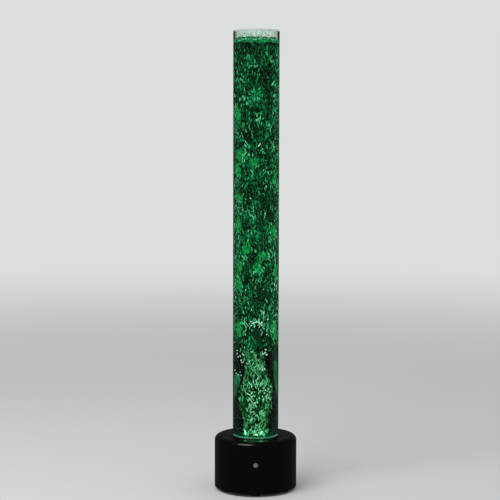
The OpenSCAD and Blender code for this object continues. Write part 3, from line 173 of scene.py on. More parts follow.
tube_low, tube_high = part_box("outer_tube")
TUBE_R, TUBE_FOOT, TUBE_RIM = tube_high.x, tube_low.z, tube_high.z
TUBE_WALL = 0.005
TUBE_SEAM = 1.2                       # a ring of points half way up
RIM_POLISH = 0.0008
SIDES, FINE_SIDES = 128, 192          # of round bodies, and of those whose edge shows against the room


def drawn_up(name, profile, sides=SIDES, closed=True):
    """A turned body: a circle drawn up ring by ring through (radius, height) points."""
    nothing_selected()
    (radius, height), rest = profile[0], profile[1:]
    ends = "NGON" if closed else "NOTHING"
    bpy.ops.mesh.primitive_circle_add(vertices=sides, radius=radius, fill_type=ends, location=(0, 0, height))
    piece = bpy.context.object
    piece.name = piece.data.name = name
    bpy.ops.object.mode_set(mode="EDIT")
    bpy.ops.mesh.select_mode(type="EDGE")
    for r, z in rest:
        bpy.ops.mesh.extrude_edges_move(TRANSFORM_OT_translate={"value": (0, 0, z - height)})
        bpy.ops.transform.resize(value=(r / radius, r / radius, 1), center_override=(0, 0, z))
        radius, height = r, z
    if closed:
        bpy.ops.mesh.edge_face_add()
    bpy.ops.mesh.select_all(action="SELECT")
    bpy.ops.mesh.normals_make_consistent(inside=False)
    bpy.ops.object.mode_set(mode="OBJECT")
    bpy.ops.object.transform_apply()
    return piece


def smoothed(piece, angle):
    """Smooth shading up to an angle in degrees."""
    nothing_selected()
    piece.select_set(True)
    bpy.context.view_layer.objects.active = piece
    bpy.ops.object.shade_smooth_by_angle(angle=math.radians(angle))
    return piece


tube = drawn_up("acrylic_tube", [(TUBE_R, TUBE_FOOT), (TUBE_R, TUBE_SEAM), (TUBE_R, TUBE_RIM)],
                FINE_SIDES, closed=False)
wall = tube.modifiers.new("wall", "SOLIDIFY")
wall.thickness, wall.offset = TUBE_WALL, -1
bpy.ops.object.modifier_apply(modifier="wall")
polish = tube.modifiers.new("polish", "BEVEL")
polish.width, polish.segments = RIM_POLISH, 3
polish.limit_method, polish.angle_limit = "ANGLE", math.radians(60)
bpy.ops.object.modifier_apply(modifier="polish")
smoothed(tube, 30)

cast_acrylic, tree, out = new_tree("cast_acrylic_polished")
where = add(tree, "TexCoord").outputs["Object"]
along = add(tree, "Mapping", Vector=where, Scale=(1, 1, 0.06))
draw = add(tree, "TexNoise", Vector=along.outputs["Vector"], Scale=60.0, Detail=2.0)
drawn = add(tree, "Bump", Strength=0.02, Distance=0.0003, Height=draw.outputs["Fac"])
clear = add(tree, "BsdfPrincipled", Base_Color=linear("#f2fbf7"), IOR=1.49, Roughness=0.0,
            Specular_Tint=(0.16, 0.16, 0.16, 1.0), Normal=drawn.outputs["Normal"])
clear.inputs["Transmission Weight"].default_value = 1.0
tree.links.new(clear.outputs[0], out.inputs["Surface"])
tube.data.materials.append(cast_acrylic)
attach(tube, "base")
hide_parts("outer_tube")

# ---- Water ----------------------------------------------------------------------------------
# Still clear water fills the tube from its floor to about 40 mm under the rim, and the rising air
# keeps its surface heaped and rippled. It wets the wall, so no gap shows. A long way through it
# swallows light, and red first, which leaves the clear part at the foot a dark bottle green.

WETTING = 0.0003                      # how far the water's skin reaches into the wall and keeps off the floor
WATER_R = TUBE_R - TUBE_WALL + WETTING
WATER_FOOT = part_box("tube_floor")[1].z + WETTING
WATER_TOP = TUBE_RIM - 0.0405
WATER_SEAMS = (0.7, 1.3)
SURFACE_RINGS = (0.078, 0.060, 0.040, 0.020)
RIPPLE, HEAP, RIPPLE_SIZE = 0.0022, 0.0012, 1 / 34
DEEP = "#b9d6c6"
SWALLOWED = 100.0                     # how dense the water's colour is, per metre

water_profile = [(WATER_R, z) for z in (WATER_FOOT, *WATER_SEAMS, WATER_TOP)]
water = drawn_up("water_column", water_profile + [(r, WATER_TOP) for r in SURFACE_RINGS], FINE_SIDES)
for v in water.data.vertices:
    reach = v.co.xy.length
    if v.co.z > WATER_TOP - 0.001:
        ripple = noise.noise(Vector((v.co.x / RIPPLE_SIZE, v.co.y / RIPPLE_SIZE, 3.1)))
        v.co.z += RIPPLE * ripple + HEAP * (1 - reach / WATER_R)
smoothed(water, 40)

still_water, tree, out = new_tree("clear_water")
water_body = add(tree, "BsdfPrincipled", Base_Color=linear("#f4fffa"), IOR=1.333, Roughness=0.0,
                 Specular_Tint=(0.02, 0.02, 0.02, 1.0))
water_body.inputs["Transmission Weight"].default_value = 1.0
tree.links.new(water_body.outputs[0], out.inputs["Surface"])
swallow = add(tree, "VolumeAbsorption", Color=linear(DEEP), Density=SWALLOWED)
tree.links.new(swallow.outputs[0], out.inputs["Volume"])
water.data.materials.append(still_water)
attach(water, "base")
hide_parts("water")

# ---- Bubble cloud ---------------------------------------------------------------------------
# Deep in the water the bubbles crowd into one green cloud: a plume over the jets that opens
# like a trumpet and fills the tube from about 400 mm up. Each bubble throws on the coloured
# light from the foot; that glow is painted light, an emission on the cloud's surface in upright
# grains and curls, with dimmer painted gaps of dark water between.

PLUME = [(0.016, 0.2540), (0.026, 0.2580), (0.030, 0.270), (0.032, 0.300), (0.037, 0.340), (0.043, 0.380),
         (0.047, 0.420), (0.044, 0.460), (0.034, 0.500), (0.027, 0.540), (0.024, 0.580), (0.026, 0.610),
         (0.058, 0.628), (0.0860, 0.646), (0.0875, 0.700), (0.0875, 0.900), (0.0875, 1.200), (0.0875, 1.500),
         (0.0875, 1.800), (0.0875, 1.925), (0.0865, 1.944), (0.080, 1.9485), (0.050, 1.950)]
NECK_Z, FLARE_Z = 0.62, 0.66          # where the plume starts to open, and where it is open
CORE_SHARE, CORE_UNEVEN = 0.50, 0.30  # the solid heart of the plume, as a share of its radius
CORE_FROM_R = 0.02
FLARE_UNEVEN = 0.022
LUMPS_ACROSS, LUMPS_UP, FLARE_LUMPS = 40, 30, 30     # lumps in a metre of the heart, and of the flare
GRAIN_W, GRAIN_H = 0.0085, 0.020      # a bubble's smear of light in the cloud, across and up
GRAIN_STEP, CURL_STEP, DRIFT_STEP, CLUMP_STEP = 0.0104, 0.015, 1 / 26, 1 / 16
DRIFT = (0.030, 0.030, 0.018)
NECK_GLOW, FULL_GLOW = 1.3, 1.40

cloud = drawn_up("bubble_cloud", PLUME)
for v in cloud.data.vertices:
    if v.co.z < NECK_Z and v.co.xy.length > CORE_FROM_R:
        lump = noise.noise(Vector((v.co.x * LUMPS_ACROSS, v.co.y * LUMPS_ACROSS, v.co.z * LUMPS_UP)))
        v.co.xy *= CORE_SHARE + CORE_UNEVEN * lump
    elif v.co.z < FLARE_Z:
        v.co.z += FLARE_UNEVEN * noise.noise(Vector((v.co.x * FLARE_LUMPS, v.co.y * FLARE_LUMPS, 0.7)))
smoothed(cloud, 60)

# Painted light: the cloud glows by emission in place of the LEDs' light on its bubbles, in grains and curls
# from the ramp, and brighter where the plume opens.
cloud_light, tree, out = new_tree("green_lit_bubble_cloud")
where = add(tree, "TexCoord").outputs["Object"]
drift = add(tree, "TexNoise", Vector=where, Scale=1 / DRIFT_STEP, Detail=1.0)
drift = add(tree, "VectorMath", {"operation": "SUBTRACT"}, i0=drift.outputs["Color"], i1=(0.5, 0.5, 0.5))
drift = add(tree, "VectorMath", {"operation": "MULTIPLY"}, i0=drift.outputs[0], i1=DRIFT)
bent = add(tree, "VectorMath", {"operation": "ADD"}, i0=where, i1=drift.outputs[0])
upright = add(tree, "Mapping", Vector=bent.outputs[0], Scale=(1, 1, GRAIN_W / GRAIN_H)).outputs["Vector"]
cells = add(tree, "TexVoronoi", {"feature": "F1"}, Vector=upright, Scale=1 / GRAIN_STEP)
grains = add(tree, "MapRange", {"interpolation_type": "SMOOTHSTEP"}, Value=cells.outputs["Distance"],
             From_Min=0.50, From_Max=0.20)
curl = add(tree, "TexNoise", Vector=upright, Scale=1 / CURL_STEP, Detail=2.0)
curl = add(tree, "Math", {"operation": "SUBTRACT"}, i0=curl.outputs["Fac"], i1=0.5)
curl = add(tree, "Math", {"operation": "ABSOLUTE"}, i0=curl.outputs[0])
curls = add(tree, "MapRange", {"interpolation_type": "SMOOTHSTEP"}, Value=curl.outputs[0],
            From_Min=0.045, From_Max=0.008)
lit = add(tree, "Math", {"operation": "MAXIMUM"}, i0=grains.outputs["Result"], i1=curls.outputs["Result"])
clump = add(tree, "TexNoise", Vector=where, Scale=1 / CLUMP_STEP, Detail=2.0)
clump = add(tree, "MapRange", Value=clump.outputs["Fac"], From_Min=0.32, From_Max=0.66)
lit = add(tree, "Math", {"operation": "MULTIPLY"}, i0=lit.outputs[0], i1=clump.outputs["Result"])
haze = add(tree, "ValToRGB", Fac=lit.outputs[0])
haze.color_ramp.elements[0].color = linear("#021008")
haze.color_ramp.elements[1].color = linear("#0d8049")
haze.color_ramp.elements.new(0.45).color = linear("#033219")
height = add(tree, "SeparateXYZ", Vector=where)
near = add(tree, "MapRange", {"interpolation_type": "SMOOTHSTEP"}, Value=height.outputs["Z"],
           From_Min=0.60, From_Max=FLARE_Z, To_Min=NECK_GLOW, To_Max=FULL_GLOW)
body = add(tree, "BsdfPrincipled", Base_Color=linear("#02120a"), Roughness=0.8,
           Emission_Color=haze.outputs["Color"], Emission_Strength=near.outputs["Result"])
body.inputs["Specular IOR Level"].default_value = 0.0
tree.links.new(body.outputs[0], out.inputs["Surface"])
cloud_light.cycles.emission_sampling = "NONE"
cloud.data.materials.append(cloud_light)
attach(cloud, "base")
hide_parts("bubble_plume")

# ---- Rising bubbles -------------------------------------------------------------------------
# The near bubbles: air from the jets, drawn out upright by their climb and by the shutter to
# smears about 5 mm wide and 16 mm tall, some bent or hooked. One of each kind is modelled and
# copied, slanted a little either way, and no two neighbours carry quite the same light. Their
# glow is painted light: each copy gets a faint, green or bright emission, in clumps and dimmer
# higher up.

FULL_WIDTH_Z, UNDER_FROTH = 0.575, 1.948
ROW, COLUMN = 0.0158, 0.0102          # spacing of the near bubbles, up and across
NEAR_R, NEAR_LAYER = 0.0905, (0.0885, 0.0912)
BUBBLE_DEEP, BUBBLE_WIDE, BUBBLE_TALL = 0.0042, (0.0034, 0.0060), (0.010, 0.022)
OFF_ROW, OFF_COLUMN, BUBBLE_SLANT = 0.55, 0.45, 0.36
LEFT_OUT, CROWDING = 0.20, 0.6        # share of the places left bare, and how far that varies
THIN_BELOW, THINNING = 0.65, 16       # under this height they get fewer, by this share per metre
CALM_ABOVE = 1.6                      # over this height few are hooked
BRIGHT_OVER, GREEN_OVER, LIGHT_VARIES = 0.36, -0.12, 0.45
DIMMER_UP, MID_HEIGHT = 0.12, 1.1     # the light fades by this a metre, from the middle of the tube
GRAIN_MESH, SHEET_MESH = (8, 7), (28, 14)
THIN_TOP, HOOKED, CURLED = 0.3, 0.9, 0.8
RAGGED, RAGGED_STEPS = 0.55, 3.1      # how far a sheet's edge wanders, and how often
TAPER_MIDDLE, TAPER_UP = 0.62, 0.76   # a tapering sheet's width half way up, and what it gains by the top
GRAIN, HOOK, HOOK_BACK, CURL, CURL_BACK, RAGGED_SHEET, TAPER_LEFT, TAPER_RIGHT = range(8)


def bubble_mould(name, sides=GRAIN_MESH[0], rings=GRAIN_MESH[1], bend=0.0, wave=0.0):
    """A drop of light one unit tall: a ball, drawn thin towards its top and bent or waved sideways."""
    nothing_selected()
    bpy.ops.mesh.primitive_uv_sphere_add(segments=sides, ring_count=rings, radius=0.5)
    drop = bpy.context.object
    drop.name = name
    bpy.ops.object.mode_set(mode="EDIT")
    bpy.ops.mesh.select_all(action="SELECT")
    bpy.ops.mesh.normals_make_consistent(inside=False)
    bpy.ops.object.mode_set(mode="OBJECT")
    for v in drop.data.vertices:
        v.co.y += bend * (0.25 - v.co.z ** 2) * 2 + wave * math.sin(v.co.z * 2 * math.pi)
        v.co.x *= 1 - THIN_TOP * v.co.z
    return drop


moulds = [bubble_mould("grain"), bubble_mould("hook", bend=HOOKED), bubble_mould("hook_back", bend=-HOOKED),
          bubble_mould("curl", wave=CURLED), bubble_mould("curl_back", wave=-CURLED),
          bubble_mould("ragged_sheet", *SHEET_MESH), bubble_mould("tapering_left", *SHEET_MESH),
          bubble_mould("tapering_right", *SHEET_MESH)]
for v in moulds[RAGGED_SHEET].data.vertices:
    v.co.yz *= 1 + RAGGED * noise.noise(Vector((v.co.y * RAGGED_STEPS, v.co.z * RAGGED_STEPS, 1.7)))
for mould, side in ((moulds[TAPER_LEFT], -0.5), (moulds[TAPER_RIGHT], 0.5)):
    for v in mould.data.vertices:
        v.co.y = side + (v.co.y - side) * (TAPER_MIDDLE + TAPER_UP * v.co.z)


def strewn(name, spots):
    """One mesh with a copy of a mould at each spot: (mould, angle, radius, height, slant, size).
    A copy is slanted in the plane that faces out, then wrapped round the tube's axis."""
    points, faces, first = [], [], 0
    for mould, angle, radius, z, slant, size in spots:
        mesh = moulds[mould].data
        co = np.empty(len(mesh.vertices) * 3)
        mesh.vertices.foreach_get("co", co)
        co = co.reshape(-1, 3) * size
        across = co[:, 1] * math.cos(slant) - co[:, 2] * math.sin(slant)
        up = co[:, 1] * math.sin(slant) + co[:, 2] * math.cos(slant)
        turn, reach = angle + across / radius, radius + co[:, 0]
        points.append(np.stack([reach * np.cos(turn), reach * np.sin(turn), z + up], 1))
        faces += [tuple(first + i for i in p.vertices) for p in mesh.polygons]
        first += len(mesh.vertices)
    mesh = bpy.data.meshes.new(name)
    mesh.from_pydata(np.vstack(points).tolist(), [], faces)
    mesh.update()
    piece = bpy.data.objects.new(name, mesh)
    scene.collection.objects.link(piece)
    return smoothed(piece, 180)


def bubble_light(name, rim, heart, strength, grit=0.022, unevenness=0.9):
    """Painted light of bubbles: an emission for the light they throw on, with a painted highlight from the
    rim colour to the heart colour where a bubble faces out, uneven every grit metres.
    """
    material, tree, out = new_tree(name)
    place = add(tree, "TexCoord")
    outward = add(tree, "VectorMath", {"operation": "MULTIPLY"}, i0=place.outputs["Object"], i1=(1, 1, 0))
    outward = add(tree, "VectorMath", {"operation": "NORMALIZE"}, i0=outward.outputs[0])
    facing = add(tree, "VectorMath", {"operation": "DOT_PRODUCT"}, i0=place.outputs["Normal"],
                 i1=outward.outputs[0])
    facing = add(tree, "MapRange", Value=facing.outputs["Value"], From_Min=0.15, From_Max=0.95)
    uneven = add(tree, "TexNoise", Vector=place.outputs["Object"], Scale=1 / grit, Detail=2.0)
    uneven = add(tree, "MapRange", Value=uneven.outputs["Fac"], From_Min=0.34, From_Max=0.64,
                 To_Min=1 - unevenness, To_Max=1.0)
    painted_highlight = add(tree, "Math", {"operation": "MULTIPLY"}, i0=facing.outputs["Result"],
                    i1=uneven.outputs["Result"])
    colour = add(tree, "ValToRGB", Fac=painted_highlight.outputs[0])
    colour.color_ramp.elements[0].color = linear(rim)
    colour.color_ramp.elements[1].color = linear(heart)
    film = add(tree, "BsdfPrincipled", Base_Color=linear("#04200f"), Roughness=0.35,
               Emission_Color=colour.outputs["Color"], Emission_Strength=strength)
    film.inputs["Specular IOR Level"].default_value = 0.0
    tree.links.new(film.outputs[0], out.inputs["Surface"])
    material.cycles.emission_sampling = "NONE"
    return material


def in_water(piece, material):
    """A piece of the bubble cloud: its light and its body."""
    piece.data.materials.append(material)
    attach(piece, "base")


def clumping(angle, z, round_about, up, start=0):
    """How bubbles clump, from about -1 to 1, for a number of clumps round the tube and up it."""
    return noise.noise(Vector((math.cos(angle) * round_about + start, math.sin(angle) * round_about, z * up)))


def any_way():
    """An angle anywhere round the tube."""
    return random.uniform(0, 2 * math.pi)


# Three levels of painted light for copies of the same bubbles: faint, green and bright emission.
faint_light = bubble_light("faint_green_bubble_light", "#011a0c", "#0b8048", 1.0)
green_light = bubble_light("green_bubble_light", "#02401f", "#22c473", 1.25)
bright_light = bubble_light("bright_green_bubble_light", "#0a7c46", "#86efba", 1.15)

lots = {"faint": [], "green": [], "bright": []}
rows, around = int((UNDER_FROTH - FULL_WIDTH_Z) / ROW), int(2 * math.pi * NEAR_R / COLUMN)
for row in range(rows):
    for step in range(around):
        z = FULL_WIDTH_Z + (row + random.uniform(-OFF_ROW, OFF_ROW)) * ROW
        place = step + 0.5 * (row % 2) + random.uniform(-OFF_COLUMN, OFF_COLUMN)
        angle = place * 2 * math.pi / around
        bare = LEFT_OUT - CROWDING * clumping(angle, z, 1.7, 13) + max(0, THIN_BELOW - z) * THINNING
        if random.random() < bare:
            continue
        # Painted light: how bright a bubble glows, set in clumps and dimmer higher up.
        share = clumping(angle, z, 2.6, 19, 7) + random.uniform(-LIGHT_VARIES, LIGHT_VARIES)
        share += DIMMER_UP * (MID_HEIGHT - z)
        if z < CALM_ABOVE:
            kind = random.choice((GRAIN, GRAIN, GRAIN, HOOK, HOOK_BACK, CURL, CURL_BACK))
        else:
            kind = random.choice((GRAIN, GRAIN, GRAIN, GRAIN, HOOK, HOOK_BACK))
        lot = "bright" if share > BRIGHT_OVER else "green" if share > GREEN_OVER else "faint"
        lots[lot].append((kind, angle, random.uniform(*NEAR_LAYER), z, random.gauss(0, BUBBLE_SLANT),
                          (BUBBLE_DEEP, random.uniform(*BUBBLE_WIDE), random.uniform(*BUBBLE_TALL))))
for lot, light in (("faint", faint_light), ("green", green_light), ("bright", bright_light)):
    in_water(strewn(f"bubbles_{lot}", lots[lot]), light)

# ---- Plume over the jets --------------------------------------------------------------------
# At the foot the air is still in seven streams, which swing round each other and throw bright
# white-green strands and hooks, all painted light: an emission on each strand and hook. The water
# round them is clear and dark, so they shine through some 50 mm of it, and their painted light is
# stronger than it looks from outside.

STRANDS, STRANDS_FROM, STRANDS_OVER = 2200, 0.256, 0.386
BELLY_R, THROAT_R, THROAT_Z = 0.048, 0.034, 0.60
BRIGHT_FROM, DEEP_FROM, STRANDS_TO, STRANDS_MOST = 0.80, 0.56, 1.24, 1.05    # shares of the plume's radius
STRAND_DEEP, STRAND_WIDE, STRAND_TALL = 0.0028, (0.0018, 0.0030), (0.009, 0.023)
STRAND_SLANT, BRIGHT_SHARE, BRIGHT_VARIES = 0.6, 0.36, 0.45
LEANING, LEANING_Z = 130, (0.540, 0.668)
LEAN_SIDE, LEAN_SPREAD = -26, 30      # degrees from the front
LEAN_R, LEAN_OUT, LEAN_FROM_Z = 0.040, 0.22, 0.53
LEANING_WIDE, LEANING_TALL = (0.0016, 0.0026), (0.010, 0.022)
HOOKS, HOOK_LAYER, HOOK_Z = 46, (0.026, 0.044), (0.249, 0.274)
HOOK_DEEP, HOOK_WIDE, HOOK_TALL = 0.004, 0.0024, (0.007, 0.018)
CURL_R, CURL_DEEP, CURL_WIDE = 0.040, 0.004, 0.0036
CURLS = ((HOOK, -66, 0.264, 0.3, 0.015), (HOOK_BACK, -58, 0.256, -0.4, 0.010),
         (HOOK_BACK, 33, 0.261, -0.5, 0.014), (HOOK, 4, 0.252, 1.2, 0.011))

# Painted light: emission on the strands and on the hooks and curls over the jets; the sparkle material is a
# painted highlight.
strand_light = bubble_light("white_green_strand_light", "#33875c", "#ffffff", 8.0, grit=0.008)
hook_light = bubble_light("white_light_on_the_jets", "#5fa886", "#ffffff", 15.0, grit=0.012)
curl_light = bubble_light("whitest_light_on_the_jets", "#bfe6d0", "#ffffff", 40.0, grit=0.05, unevenness=0.4)
inner_light = bubble_light("deep_green_strand_light", "#082f1c", "#2c8757", 4.6, grit=0.010)
white_light = bubble_light("white_bubble_sparkle", "#7defb2", "#f4fff9", 1.0, grit=0.03, unevenness=0.4)


def plume_radius(z):
    """The plume's radius at a height, read off its profile."""
    return float(np.interp(z, [p[1] for p in PLUME], [p[0] for p in PLUME]))


def from_front(degrees):
    """The angle round the tube of a place so many degrees to the right of the front."""
    return math.radians(degrees - 90)


strands, inner = [], []
for i in range(STRANDS):
    z = STRANDS_FROM + STRANDS_OVER * random.random()
    angle = any_way()
    bright = random.random() < BRIGHT_SHARE + BRIGHT_VARIES * clumping(angle, z, 1.6, 24)
    widest = BELLY_R if z < THROAT_Z else THROAT_R
    out_from = BRIGHT_FROM if bright else DEEP_FROM
    radius = min(plume_radius(z), widest) * random.triangular(out_from, STRANDS_TO, STRANDS_MOST) + 0.001
    kind = random.choice((HOOK, HOOK_BACK, CURL, CURL_BACK, CURL, CURL_BACK))
    (strands if bright else inner).append(
        (kind, angle, radius, z, random.gauss(0, STRAND_SLANT),
         (STRAND_DEEP, random.uniform(*STRAND_WIDE), random.uniform(*STRAND_TALL))))
own = random.Random(SEED)
for i in range(LEANING):               # where it opens, the plume leans to the left of the front
    z = own.uniform(*LEANING_Z)
    (strands if i % 5 < 2 else inner).append(
        (own.choice((HOOK, HOOK_BACK, CURL, CURL_BACK)), from_front(own.gauss(LEAN_SIDE, LEAN_SPREAD)),
         own.uniform(THROAT_R, LEAN_R + LEAN_OUT * (z - LEAN_FROM_Z)), z, own.gauss(0, STRAND_SLANT),
         (STRAND_DEEP, own.uniform(*LEANING_WIDE), own.uniform(*LEANING_TALL))))
hooks = []
for i in range(HOOKS):                 # air as it leaves the jets
    angle = i * 2 * math.pi / HOOKS + random.uniform(-0.1, 0.1)
    hooks.append((random.choice((HOOK, HOOK_BACK, CURL)), angle, random.uniform(*HOOK_LAYER),
                  random.uniform(*HOOK_Z), random.gauss(0, 1.0),
                  (HOOK_DEEP, HOOK_WIDE, random.uniform(*HOOK_TALL))))
in_water(strewn("jet_hooks", hooks), hook_light)
curls = [(kind, from_front(degrees), CURL_R, z, slant, (CURL_DEEP, CURL_WIDE, tall))
         for kind, degrees, z, slant, tall in CURLS]
in_water(strewn("jet_curls", curls), curl_light)
in_water(strewn("plume_strands", strands), strand_light)
in_water(strewn("plume_inner_strands", inner), inner_light)

# ---- Sheets of light and hollows ------------------------------------------------------------
# Where a big bubble rolls against the wall it spreads the light into a smooth green sheet, or
# shows as a dark hollow with a bright lip. The sheets are painted light, the hollows painted
# shade, and the lips and sparks painted highlights. On the front they are placed where the
# photograph has them, and others like them go round the rest of the tube.

SHEET_R, SHEET_DEEP = 0.0896, 0.0030
SMEARS, SMEAR_R, SMEAR_LAYER = 20, 0.0892, (0.0890, 0.0908)
SMEAR_DEEP, SMEAR_WIDE, SMEAR_TALL = 0.0034, (0.0036, 0.0075), (0.012, 0.026)
HOLLOW_R, LIP_R, PATCH_R, SPARK_R, DEEP_SPARK_R, WALL_R = 0.0922, 0.0930, 0.0930, 0.0935, 0.0900, 0.0944
DEEP_SPARKS_BELOW = 0.49              # the sparks of the plume lie deeper in the water
UPSIDE_DOWN, LYING = math.pi, 1.57

# Places on the front are in the photograph's pixels: right, down, then width and
# height of the sheet in metres, and slant in radians.
AXIS_PX, MIDDLE_PX, FOCAL_PX = 255.9, 250, 1374       # the tube's axis, the picture's middle, the lens
WALL_AWAY = -EYE[1] - (TUBE_R - TUBE_WALL)            # from the eye to the front of the wall
MID_WALL_R = TUBE_R - TUBE_WALL / 2
FARTHEST_ROUND = 0.985                                # of the way to the tube's outline
FRONT_SHEETS = (
    (237, 117, 0.040, 0.070, 0.1), (238, 156, 0.044, 0.050, UPSIDE_DOWN),
    (237, 171, 0.042, 0.062, 0.1 + UPSIDE_DOWN), (238, 200, 0.040, 0.036, 0),
    (238, 226, 0.044, 0.056, -0.2 + UPSIDE_DOWN), (238, 267, 0.040, 0.048, 0.1),
    (238, 283, 0.044, 0.060, -0.1 + UPSIDE_DOWN), (238, 331, 0.036, 0.062, 0),
    (254, 163, 0.034, 0.036, 0.3), (275, 180, 0.028, 0.050, -0.2 + UPSIDE_DOWN),
    (275, 232, 0.030, 0.052, 0.1), (276, 272, 0.030, 0.066, 0), (275, 331, 0.034, 0.080, 0),
    (258, 268, 0.030, 0.050, 0.3), (245, 250, 0.030, 0.044, 0.8), (263, 255, 0.026, 0.026, UPSIDE_DOWN))
FRONT_HOLLOWS = (
    (257, 335, 0.036, 0.070, 0.25), (263, 201, 0.034, 0.050, 0), (262, 293, 0.040, 0.056, 0),
    (242, 174, 0.026, 0.012, 0.1), (244, 182, 0.024, 0.014, 0), (275, 352, 0.034, 0.060, 0),
    (237, 345, 0.034, 0.030, 0.2), (275, 366, 0.036, 0.070, 0), (262, 168, 0.030, 0.022, 0.4),
    (257, 62, 0.020, 0.050, 0.3), (261, 186, 0.030, 0.018, -0.2))
OTHERS, OTHERS_AROUND, OTHERS_Z = 40, (0.62, 1.38), (0.60, 1.90)
OTHERS_WIDE, OTHERS_TALL, OTHERS_SLANT = (0.024, 0.044), (0.034, 0.072), 0.25
LIP_PIECES, LIP_LEFT_PX, LIP_ACROSS_PX = 12, 251.5, 10.5
LIP_FOOT_PX, LIP_RISE_PX, LIP_RAGGED_PX = 325.2, 3.8, 0.5
LIP_DEEP, LIP_WIDE, LIP_TALL = 0.0030, (0.0024, 0.0042), (0.006, 0.011)
LONE_LIP_PX, LONE_LIP_SIZE = (259, 146), (0.0030, 0.004, 0.020)
# Sparks in their clusters, in the same pixels.
FRONT_SPARKS = (
    (264, 313), (267, 334), (279, 214), (276, 232), (265, 214), (251, 321), (262, 322), (268, 319),
    (237, 354), (238, 357), (240, 356), (241, 360), (242, 362), (237, 351), (243, 354), (236, 374),
    (238, 375), (240, 372), (241, 375), (235, 371), (265, 352), (267, 354), (266, 349), (263, 353),
    (260, 368), (263, 369), (262, 366), (265, 368), (264, 387), (272, 386), (267, 396), (263, 395),
    (271, 399), (266, 389), (269, 388), (265, 392), (268, 394), (270, 391))
SPARK_DEEP, SPARK_WIDE, SPARK_TALL, SPARK_SLANT = 0.0028, (0.003, 0.006), (0.006, 0.011), 1.2
STRAY_SPARKS, STRAY_SIZE, STRAY_TALL = 34, (0.0026, 0.0032), (0.004, 0.009)
STRAYS_FROM, STRAYS_OVER, STRAY_R, STRAY_OUT = 0.64, 0.80, 0.0928, 0.0065
WALL_PATCHES = ((TAPER_LEFT, 237.6, 386, 0.064, 0.110), (TAPER_RIGHT, 275.6, 380, 0.046, 0.170))
PATCH_DEEP = 0.0028
RING_HEIGHTS, RING_ARCS = (0.2475, 0.2530, 0.2610, 0.2740), 6
RING_ARC = (0.0010, 0.110, 0.0013)

# Painted light: the sheets glow green by emission.
sheet_light = bubble_light("smooth_green_sheet_light", "#022c16", "#0fae56", 1.05, grit=0.008,
                           unevenness=0.85)
# Painted shade: a hollow is a sheet that glows only dimly, dark among the lit bubbles.
painted_hollow_shade = bubble_light("painted_shade_in_a_hollow", "#021a0e", "#042c17", 1.0, grit=0.03, unevenness=0.5)
wall_light = bubble_light("teal_light_on_the_wall", "#022c1b", "#0f7a50", 1.0, grit=0.03, unevenness=0.8)
sheets, hollows, lips, sparks = [], [], [], []


def on_the_front(right, down):
    """Angle and height on the tube's front of a place in the photograph, in its pixels."""
    across = (right - AXIS_PX) * WALL_AWAY / FOCAL_PX / MID_WALL_R
    below = math.radians(DOWN) + math.atan((down - MIDDLE_PX) / FOCAL_PX)
    return (from_front(0) + math.asin(max(-FARTHEST_ROUND, min(FARTHEST_ROUND, across))),
            EYE[2] - WALL_AWAY * math.tan(below))


def sheet_at(angle, z, wide, tall, slant):
    """A smooth sheet of painted light whose edge is frayed by the smears of single bubbles."""
    sheets.append((RAGGED_SHEET, angle, SHEET_R, z, slant, (SHEET_DEEP, 0.95 * wide, 0.95 * tall)))
    for smear in range(SMEARS):
        sheets.append((GRAIN, angle + random.gauss(0, wide / 3.0) / SMEAR_R, random.uniform(*SMEAR_LAYER),
                       z + random.gauss(0, tall / 3.0), random.gauss(0, 0.35),
                       (SMEAR_DEEP, random.uniform(*SMEAR_WIDE), random.uniform(*SMEAR_TALL))))


def hollow_at(angle, z, wide, tall, slant):
    """A dark hollow in the bubbles: a sheet of painted shade."""
    hollows.append((RAGGED_SHEET, angle, HOLLOW_R, z, slant, (SHEET_DEEP, wide, tall)))


for right, down, wide, tall, slant in FRONT_SHEETS:
    sheet_at(*on_the_front(right, down), wide, tall, slant)
for right, down, wide, tall, slant in FRONT_HOLLOWS:
    hollow_at(*on_the_front(right, down), wide, tall, slant)
for i in range(OTHERS):
    angle, z = from_front(0) + random.uniform(*OTHERS_AROUND) * math.pi, random.uniform(*OTHERS_Z)
    wide, tall = random.uniform(*OTHERS_WIDE), random.uniform(*OTHERS_TALL)
    slant = random.gauss(0, OTHERS_SLANT)
    if i % 3:
        sheet_at(angle, z, wide, tall, slant + (i % 2) * UPSIDE_DOWN)
    else:
        hollow_at(angle, z, wide, tall, slant)
# Painted highlights: the bright lips over the hollows and the sparks are smears of white emission.
for i in range(LIP_PIECES):
    share = i / (LIP_PIECES - 1)
    arch = LIP_FOOT_PX - LIP_RISE_PX * math.sqrt(math.sin(math.pi * share))
    ragged = random.uniform(-LIP_RAGGED_PX, LIP_RAGGED_PX)
    angle, z = on_the_front(LIP_LEFT_PX + LIP_ACROSS_PX * share, arch + ragged)
    lips.append((random.choice((GRAIN, HOOK, CURL)), angle, LIP_R, z, LYING + 0.7 * math.cos(math.pi * share),
                 (LIP_DEEP, random.uniform(*LIP_WIDE), random.uniform(*LIP_TALL))))
angle, z = on_the_front(*LONE_LIP_PX)
lips.append((GRAIN, angle, LIP_R, z, -0.6, LONE_LIP_SIZE))
for right, down in FRONT_SPARKS:
    angle, z = on_the_front(right, down)
    radius = SPARK_R if z > DEEP_SPARKS_BELOW else DEEP_SPARK_R
    sparks.append((GRAIN, angle, radius, z, random.uniform(-SPARK_SLANT, SPARK_SLANT),
                   (SPARK_DEEP, random.uniform(*SPARK_WIDE), random.uniform(*SPARK_TALL))))
for i in range(STRAY_SPARKS):
    z = STRAYS_FROM + STRAYS_OVER * random.random() ** 1.6
    sparks.append((GRAIN, any_way(), min(plume_radius(z) + STRAY_OUT, STRAY_R), z,
                   random.gauss(0, 0.5), (*STRAY_SIZE, random.uniform(*STRAY_TALL))))
